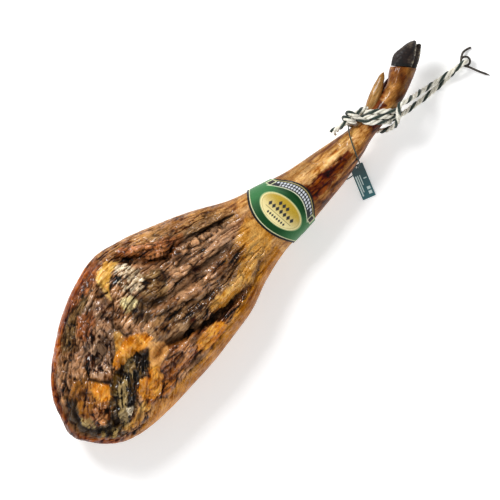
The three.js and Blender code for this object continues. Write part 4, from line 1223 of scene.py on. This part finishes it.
claw_parts, claw_paint, claw_flow = [], [], []
claw_share = np.linspace(0, 1, CLAW_RINGS, endpoint=False)[:, None]
claw_angle = np.linspace(0, 2 * math.pi, CLAW_SIDES, endpoint=False)[None, :]
for number, (base, tip, radius) in enumerate(DEWCLAWS):
    axis = np.subtract(tip, base)
    side = np.array([-axis[1], axis[0], 0.0]) / np.hypot(axis[0], axis[1])
    up = np.cross(axis / np.linalg.norm(axis), side)
    taper = np.interp(claw_share, np.arange(len(CLAW_ROUNDNESS)) / len(CLAW_ROUNDNESS), CLAW_ROUNDNESS)
    taper = taper * np.sqrt(1 - ease(claw_share, 0.78, 1.0) ** 2)
    groove = clouds(claw_angle * 3 + claw_share * 0.7 + 9 * number, claw_share * 2 + 4)
    reach = radius * taper * (0.93 + 0.14 * groove)
    shell = [
        np.array(base, dtype=float)[k] + axis[k] * claw_share
        + reach * (side[k] * np.cos(claw_angle) + up[k] * np.sin(claw_angle))
        for k in range(3)
    ]
    shell = np.stack([np.broadcast_to(part, reach.shape) for part in shell], axis=-1).reshape(-1, 3)
    claw_parts.append((np.vstack([shell, [base, tip]]), capped_loft(CLAW_RINGS, CLAW_SIDES)))
    streak = clouds(claw_angle * 3.4 + 5 * number, claw_share * 2.5) * 1.5 - 0.25 - 0.75 * number
    # Painted shade on the side facing the foot, near the root
    streak = streak - 0.5 * ease(-np.cos(claw_angle), 0.2, 1) * (1 - claw_share)
    streak = np.append(np.clip(streak, 0, 1).ravel(), [0.5, 0.8])
    claw_paint.append(three_shades(CLAW_HORN, streak))
    claw_flow.append(np.column_stack([claw_parts[-1][0][:, 0] / 9, claw_parts[-1][0][:, 1:] / 1.6]))
claw_points, claw_faces, _ = merged(claw_parts)
claws = piece("dewclaws", claw_points, claw_faces, [meat_surface.material])
dull_claw = np.full(len(claw_points), 0.36)
painted(claws, paint=np.vstack(claw_paint), dull=dull_claw, wet=dull_claw, flow=np.vstack(claw_flow))

# Hoof: two halves of dark horn side by side with a cleft between them, grown onto the end of the foot.
# The horn has fine growth ridges across it, and is worn pale along the edge of the sole.
HOOF_SECTIONS = [
    # back edge, sole edge and thickness
    ((361.6, -30.2), (381.6, -57.3), 21),
    ((377, -22.4), (394.5, -52), 22),
    ((395.7, -24.4), (405, -45.8), 20),
    ((409.7, -27.9), (413, -40), 14),
    ((417.3, -32), (417.9, -36), 6),
]
HOOF_HALVES = [
    # piece, CAD node, height of the face in the cleft, side of it, and shift of the root and of the tip
    ("hoof_upper_half", "hoof_near", 58.0, 1, (0.3, 0.3), (0.3, 0.3)),
    ("hoof_lower_half", "hoof_far", 55.5, -1, (4.6, -6.7), (2.2, -9)),
]
HORN = ((24, 20, 17), (54, 48, 42), (104, 94, 82))
WORN_HORN = ((96, 84, 62), (168, 156, 126), (222, 212, 184))
HOOF_RINGS, HOOF_SIDES = 90, 96
HOOF_SQUARE = 0.8
HOOF_RIDGES = 11

horn = Shader("dark_horn", Specular_IOR_Level=0.3)
horn_grain = horn.effect(GRAIN, 1.0, horn.stored("flow", "Vector"))
horn.feed("Base Color", horn.mix(0.5, horn.stored("paint", "Color"), horn_grain["Tone"], "OVERLAY"))
horn.feed("Roughness", horn.ramp(horn_grain["Tone"], (0.0, 0.38), (1.0, 0.66)))
horn.bump(horn_grain["Height"], 0.0004)
hoof_share = np.linspace(0, 1, HOOF_RINGS)[:, None]
hoof_angle = np.linspace(0, 2 * math.pi, HOOF_SIDES, endpoint=False)[None, :]
for name, node, cleft_z, direction, root_shift, tip_shift in HOOF_HALVES:
    backs = smooth_curve([(*back, thick) for back, _, thick in HOOF_SECTIONS], HOOF_RINGS - 1)
    soles = smooth_curve([(*sole, thick) for _, sole, thick in HOOF_SECTIONS], HOOF_RINGS - 1)
    aside = signed_power(np.cos(hoof_angle), HOOF_SQUARE)
    rise = signed_power(np.sin(hoof_angle), HOOF_SQUARE)
    growth = np.sin(2 * math.pi * (hoof_share * HOOF_RIDGES + 0.5 * clouds(hoof_share * 4, hoof_angle, 2)))
    chipped = clouds(hoof_share * 9 + 20 * direction, hoof_angle * 2.4)
    swell = 1 - 0.006 * (1 - growth) - 0.05 * ease(chipped, 0.6, 0.85)
    middle, half = (backs + soles) / 2, (backs - soles) / 2
    x = middle[:, :1] + half[:, :1] * aside * swell + lerp(root_shift[0], tip_shift[0], hoof_share)
    y = middle[:, 1:2] + half[:, 1:2] * aside * swell + lerp(root_shift[1], tip_shift[1], hoof_share)
    z = cleft_z + direction * backs[:, 2:] * (1 + direction * rise * swell) / 2
    if direction < 0:
        x, y, z = x[:, ::-1], y[:, ::-1], z[:, ::-1]
        aside = aside[:, ::-1]
    shell = np.stack([x, y, z], axis=-1)
    ends = [shell[0].mean(axis=0), shell[-1].mean(axis=0)]
    hoof_points = np.vstack([shell.reshape(-1, 3), ends])
    wear = ease(-aside + 0.5 * (chipped - 0.5), 0.72, 0.98)
    wear = wear * ease(clouds(hoof_share * 16, hoof_angle), 0.42, 0.6)
    tone = 0.45 + 0.06 * growth + 1.4 * (clouds(hoof_share * 4, hoof_angle * 2.4 + 8) - 0.5)
    tone = tone - 0.45 * (1 - ease(hoof_share, 0.02, 0.12))
    tone, wear = (np.append(value.ravel(), [0.2, 0.2]) for value in (np.clip(tone, 0, 1), 0.8 * wear))
    hoof_paint = lerp(three_shades(HORN, tone), three_shades(WORN_HORN, tone), wear[:, None])
    hoof = piece(name, hoof_points, capped_loft(HOOF_RINGS, HOOF_SIDES), [horn.material])
    painted(hoof, paint=hoof_paint, flow=hoof_points / (3.0, 3.0, 1.2))
    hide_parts(node)

# Band: a glossy printed paper label round the shank, a wide shield on top and a plain strip below, glued
# to itself underneath. The print is a pale oval on green with plain shapes where words would stand.
BAND_LIFT = {"inner": 1.1, "outer": 1.9}
BAND_EDGES = {
    "low": 54.0, "high": 97.5, "low_tilt": 7.0, "high_tilt": 1.7, "low_bulge": 21.0, "high_bulge": 28.5,
}
BAND_ROWS = 150
BAND_STEPS = {"top": 0.62, "under": 3.0}
OVAL = {"x": 71.0, "y": -50.0, "along": 22.5, "across": 38.5}
INK = (24, 22, 22)
INK_GREY = (46, 48, 50)
CREAM_LINE = (206, 206, 164)
GOLD_LINE = (180, 166, 108)
DEEP_GREEN = (6, 52, 18)
MINT = (56, 116, 66)
OVAL_CREAM = (230, 218, 160)
OVAL_GOLD = (176, 146, 44)
PALE_GREEN = (150, 178, 128)
RULE_BROWN = (96, 82, 40)
DOT_WHITE = (206, 210, 216)
BANNER_EDGE = (216, 220, 190)
BARE_PAPER = (120, 112, 92)
# Rows of lozenges in the oval: place along and across the shank, count, pitch and half the size of each
LOZENGE_ROWS = [
    (OVAL["x"] + 9.5, OVAL["y"] + 1, 3, 7.4, (4.4, 3.2)),
    (OVAL["x"] - 0.5, OVAL["y"] - 1, 7, 7.4, (4.6, 3.2)),
    (OVAL["x"] - 13.5, OVAL["y"] - 1, 8, 4.6, (2.8, 1.9)),
]
# Rows of dots in the dark banner: depth from the upper edge, and count
DOT_ROWS = [(8.2, 17), (13.6, 13)]
DOT_PITCH = 4.5
DOT_SIZE = (2.0, 1.5)
BANNER_MIDDLE = -51


def band_angles(steps):
    """Section angles shared by all rows of the band, evenly spaced round the shank."""
    found = []
    for half, step in ((0, steps["top"]), (1, steps["under"])):
        fine_angles, lengths = half_section(BAND_EDGES["low"], half, 241)
        found.append(np.interp(np.arange(0, lengths[-1], step), lengths, fine_angles))
    return np.concatenate(found)


def over(paint_below, colour, mask):
    """One ink laid over the print wherever its mask is 1: a flat colour, or paint that varies."""
    colours = ink(colour) if isinstance(colour, tuple) else colour
    return lerp(paint_below, colours, np.clip(mask, 0, 1)[:, None])


def stripe(value, low, high, soft=0.5):
    """1 where the value lies between low and high, with edges that fade over soft."""
    return np.clip((value - low) / soft + 0.5, 0, 1) * np.clip((high - value) / soft + 0.5, 0, 1)


def lozenges(centre_x, centre_y, count, pitch, half_size):
    """A row of equal lozenges across the shank, where a printed line of words would stand."""
    place = (band_y - centre_y) / pitch + count / 2
    aside = (place - np.floor(place) - 0.5) * pitch / half_size[1]
    reach = np.abs(aside) + np.abs((centre_x - band_x) / half_size[0])
    return (place > 0) * (place < count) * np.clip((1 - reach) * 3 + 0.5, 0, 1)


def dots(depth, count):
    """A row of round dots across the dark banner."""
    place = (band_y - BANNER_MIDDLE) / DOT_PITCH
    aside = (place - np.floor(place) - 0.5) * DOT_PITCH / DOT_SIZE[1]
    reach = np.hypot((from_high - depth) / DOT_SIZE[0], aside)
    extent = np.abs(band_y - BANNER_MIDDLE) < count * DOT_PITCH / 2
    return np.clip((1 - reach) * 2.5 + 0.5, 0, 1) * extent * banner


around = band_angles(BAND_STEPS)
sides = len(around)
_, around_share = skin(np.full(sides, BAND_EDGES["low"]), around)
bulge = np.where(np.sin(around) > 0, 1 - around_share**2, 0)
low_edge = BAND_EDGES["low"] + BAND_EDGES["low_tilt"] * around_share - BAND_EDGES["low_bulge"] * bulge
high_edge = BAND_EDGES["high"] + BAND_EDGES["high_tilt"] * around_share + BAND_EDGES["high_bulge"] * bulge
rows = np.concatenate([np.linspace(0, 1, BAND_ROWS), [1.0, 0.66, 0.33, 0.0]])
lifts = np.concatenate([np.full(BAND_ROWS, BAND_LIFT["outer"]), np.full(4, BAND_LIFT["inner"])])
row_grid, angle_grid = np.repeat(rows, sides), np.tile(around, len(rows))
band_along = lerp(np.tile(low_edge, len(rows)), np.tile(high_edge, len(rows)), row_grid)
band_share = np.tile(around_share, len(rows))
from_low = band_along - np.tile(low_edge, len(rows))
from_high = np.tile(high_edge, len(rows)) - band_along
curl = np.exp(-np.minimum(from_low, from_high) / 2.5) * clouds(band_share * 6, row_grid * 2 + 3) * 0.9
crinkle = 0.35 * (clouds(band_along / 9, band_share * 7) - 0.5)
printed_side = np.repeat(lifts, sides) == BAND_LIFT["outer"]
band_points, _ = skin(band_along, angle_grid, np.repeat(lifts, sides) + curl + crinkle)
band_x, band_y = band_points[:, 0], band_points[:, 1]
on_top = np.sin(angle_grid) > 0
wide = np.abs(band_share)
light_green = np.clip(ease(wide, 0.45, 0.95) + 0.5 * ease(band_share, 0.1, 0.7), 0, 1)
band_paint = lerp(ink(DEEP_GREEN), ink(MINT), (0.12 + 0.75 * light_green)[:, None])
oval_u = (band_x - OVAL["x"]) / OVAL["along"]
oval_v = (band_y - OVAL["y"]) / OVAL["across"]
oval_r = np.hypot(oval_u, oval_v)
gilding = ease(oval_u + 0.25 * clouds(band_x / 6, band_y / 6), -0.7, 0.75)
gold = lerp(ink(OVAL_CREAM), ink(OVAL_GOLD), gilding[:, None])
rule = stripe(band_x, OVAL["x"] - 8.2, OVAL["x"] - 7.2) * stripe(band_y, OVAL["y"] - 27, OVAL["y"] + 25, 1)
banner = stripe(from_high, 4.4, 17.5) * on_top * stripe(band_share, -0.8, 0.8, 0.02)
banner_edge = stripe(from_high, 17.5, 18.8) * on_top * stripe(band_share, -0.86, 0.86, 0.02)
slant = from_high + 40 * (wide - 0.86)
capped = on_top * stripe(wide, -1, 0.88, 0.03)
for colour, mask in (
    (DEEP_GREEN, 0.8 * stripe(from_high, 18, 24, 3) * (1 - ease(wide, 0.45, 0.7))),
    (gold, np.clip((1 - oval_r) * 20 + 0.5, 0, 1) * on_top),
    (OVAL_CREAM, 0.7 * stripe(oval_r, 0.94, 1.0, 0.03) * on_top),
    (GOLD_LINE, 0.8 * stripe(oval_r, 0.895, 0.93, 0.02) * on_top),
    (PALE_GREEN, 0.8 * stripe(oval_r, 1.01, 1.04, 0.02) * on_top),
    *((INK_GREY, lozenges(*row)) for row in LOZENGE_ROWS),
    (RULE_BROWN, 0.8 * rule * on_top),
    (INK_GREY, banner),
    *((DOT_WHITE, dots(*row)) for row in DOT_ROWS),
    (BANNER_EDGE, banner_edge),
    (CREAM_LINE, on_top * stripe(wide, 0.80, 0.95, 0.02) * stripe(slant, 3.8, 16.2, 0.8)),
    (INK, on_top * stripe(wide, 0.82, 0.93, 0.02) * stripe(slant, 5, 15, 0.8)),
    (GOLD_LINE, stripe(from_high, 3.2, 4.4) * capped),
    (INK, stripe(from_high, -1, 3.2) * capped),
    (CREAM_LINE, stripe(from_low, 3.4, 4.7)),
    (INK, stripe(from_low, -1, 3.4)),
    (BARE_PAPER, ~printed_side),
):
    band_paint = over(band_paint, colour, mask)

paper = Shader("glossy_label_paper", Specular_IOR_Level=0.15, Coat_Weight=0.12, Coat_Roughness=0.2)
paper_grain = paper.effect(GRAIN, 650.0)
paper_tone = paper.ramp(paper_grain["Tone"], (0.0, 0.36), (1.0, 0.62))
paper.feed("Base Color", paper.mix(0.5, paper.stored("paint", "Color"), paper_tone, "OVERLAY"))
paper.feed("Roughness", paper.ramp(paper_grain["Tone"], (0.0, 0.32), (1.0, 0.5)))
paper.bump(paper_grain["Height"], 0.00015, 0.5)
band_faces = [face[::-1] for face in ring_faces(len(rows), sides, joined=True)]
band = piece("paper_band", band_points, band_faces, [paper.material])
painted(band, paint=band_paint)
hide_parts("label_band")

# Floor and light: a plain white table, a large soft lamp from the upper left and a weaker one opposite.
# The room is bright near the table and darker overhead, so wet ridges glint and hollows stay deep.
bpy.ops.mesh.primitive_plane_add(size=6, location=(0, 0, 0))
floor = bpy.context.object
floor.name = "floor"
white_table = Shader("white_table", Roughness=0.9, Specular_IOR_Level=0.1, Emission_Strength=0.3)
white_table.feed("Base Color", (0.95, 0.95, 0.95, 1.0))
white_table.feed("Emission Color", (1.0, 1.0, 1.0, 1.0))
floor.data.materials.append(white_table.material)


def lamp(name, place, size, power):
    light = bpy.data.lights.new(name, "AREA")
    light.energy = power
    light.size = size
    placed = bpy.data.objects.new(name, light)
    placed.location = place
    placed.rotation_euler = Vector(place).to_track_quat("Z", "Y").to_euler()
    bpy.context.collection.objects.link(placed)


lamp("key_lamp", (0.15, 1.5, 1.7), 0.8, 44)
lamp("fill_lamp", (-1.0, -1.6, 1.7), 1.8, 14)
world = bpy.data.worlds.new("studio")
world.use_nodes = True
sky = Nodes()
sky.tree = world.node_tree
height = sky.node("ShaderNodeSeparateXYZ", Vector=sky.node("ShaderNodeTexCoord").outputs["Generated"])
room = sky.node(
    "ShaderNodeMapRange", Value=height.outputs["Z"], From_Min=0.15, From_Max=0.85, To_Min=1.0, To_Max=0.2
)
background = sky.tree.nodes["Background"]
sky.give(background.inputs["Strength"], room.outputs["Result"])
sky.give(background.inputs["Color"], (1, 1, 1, 1))
bpy.context.scene.world = world
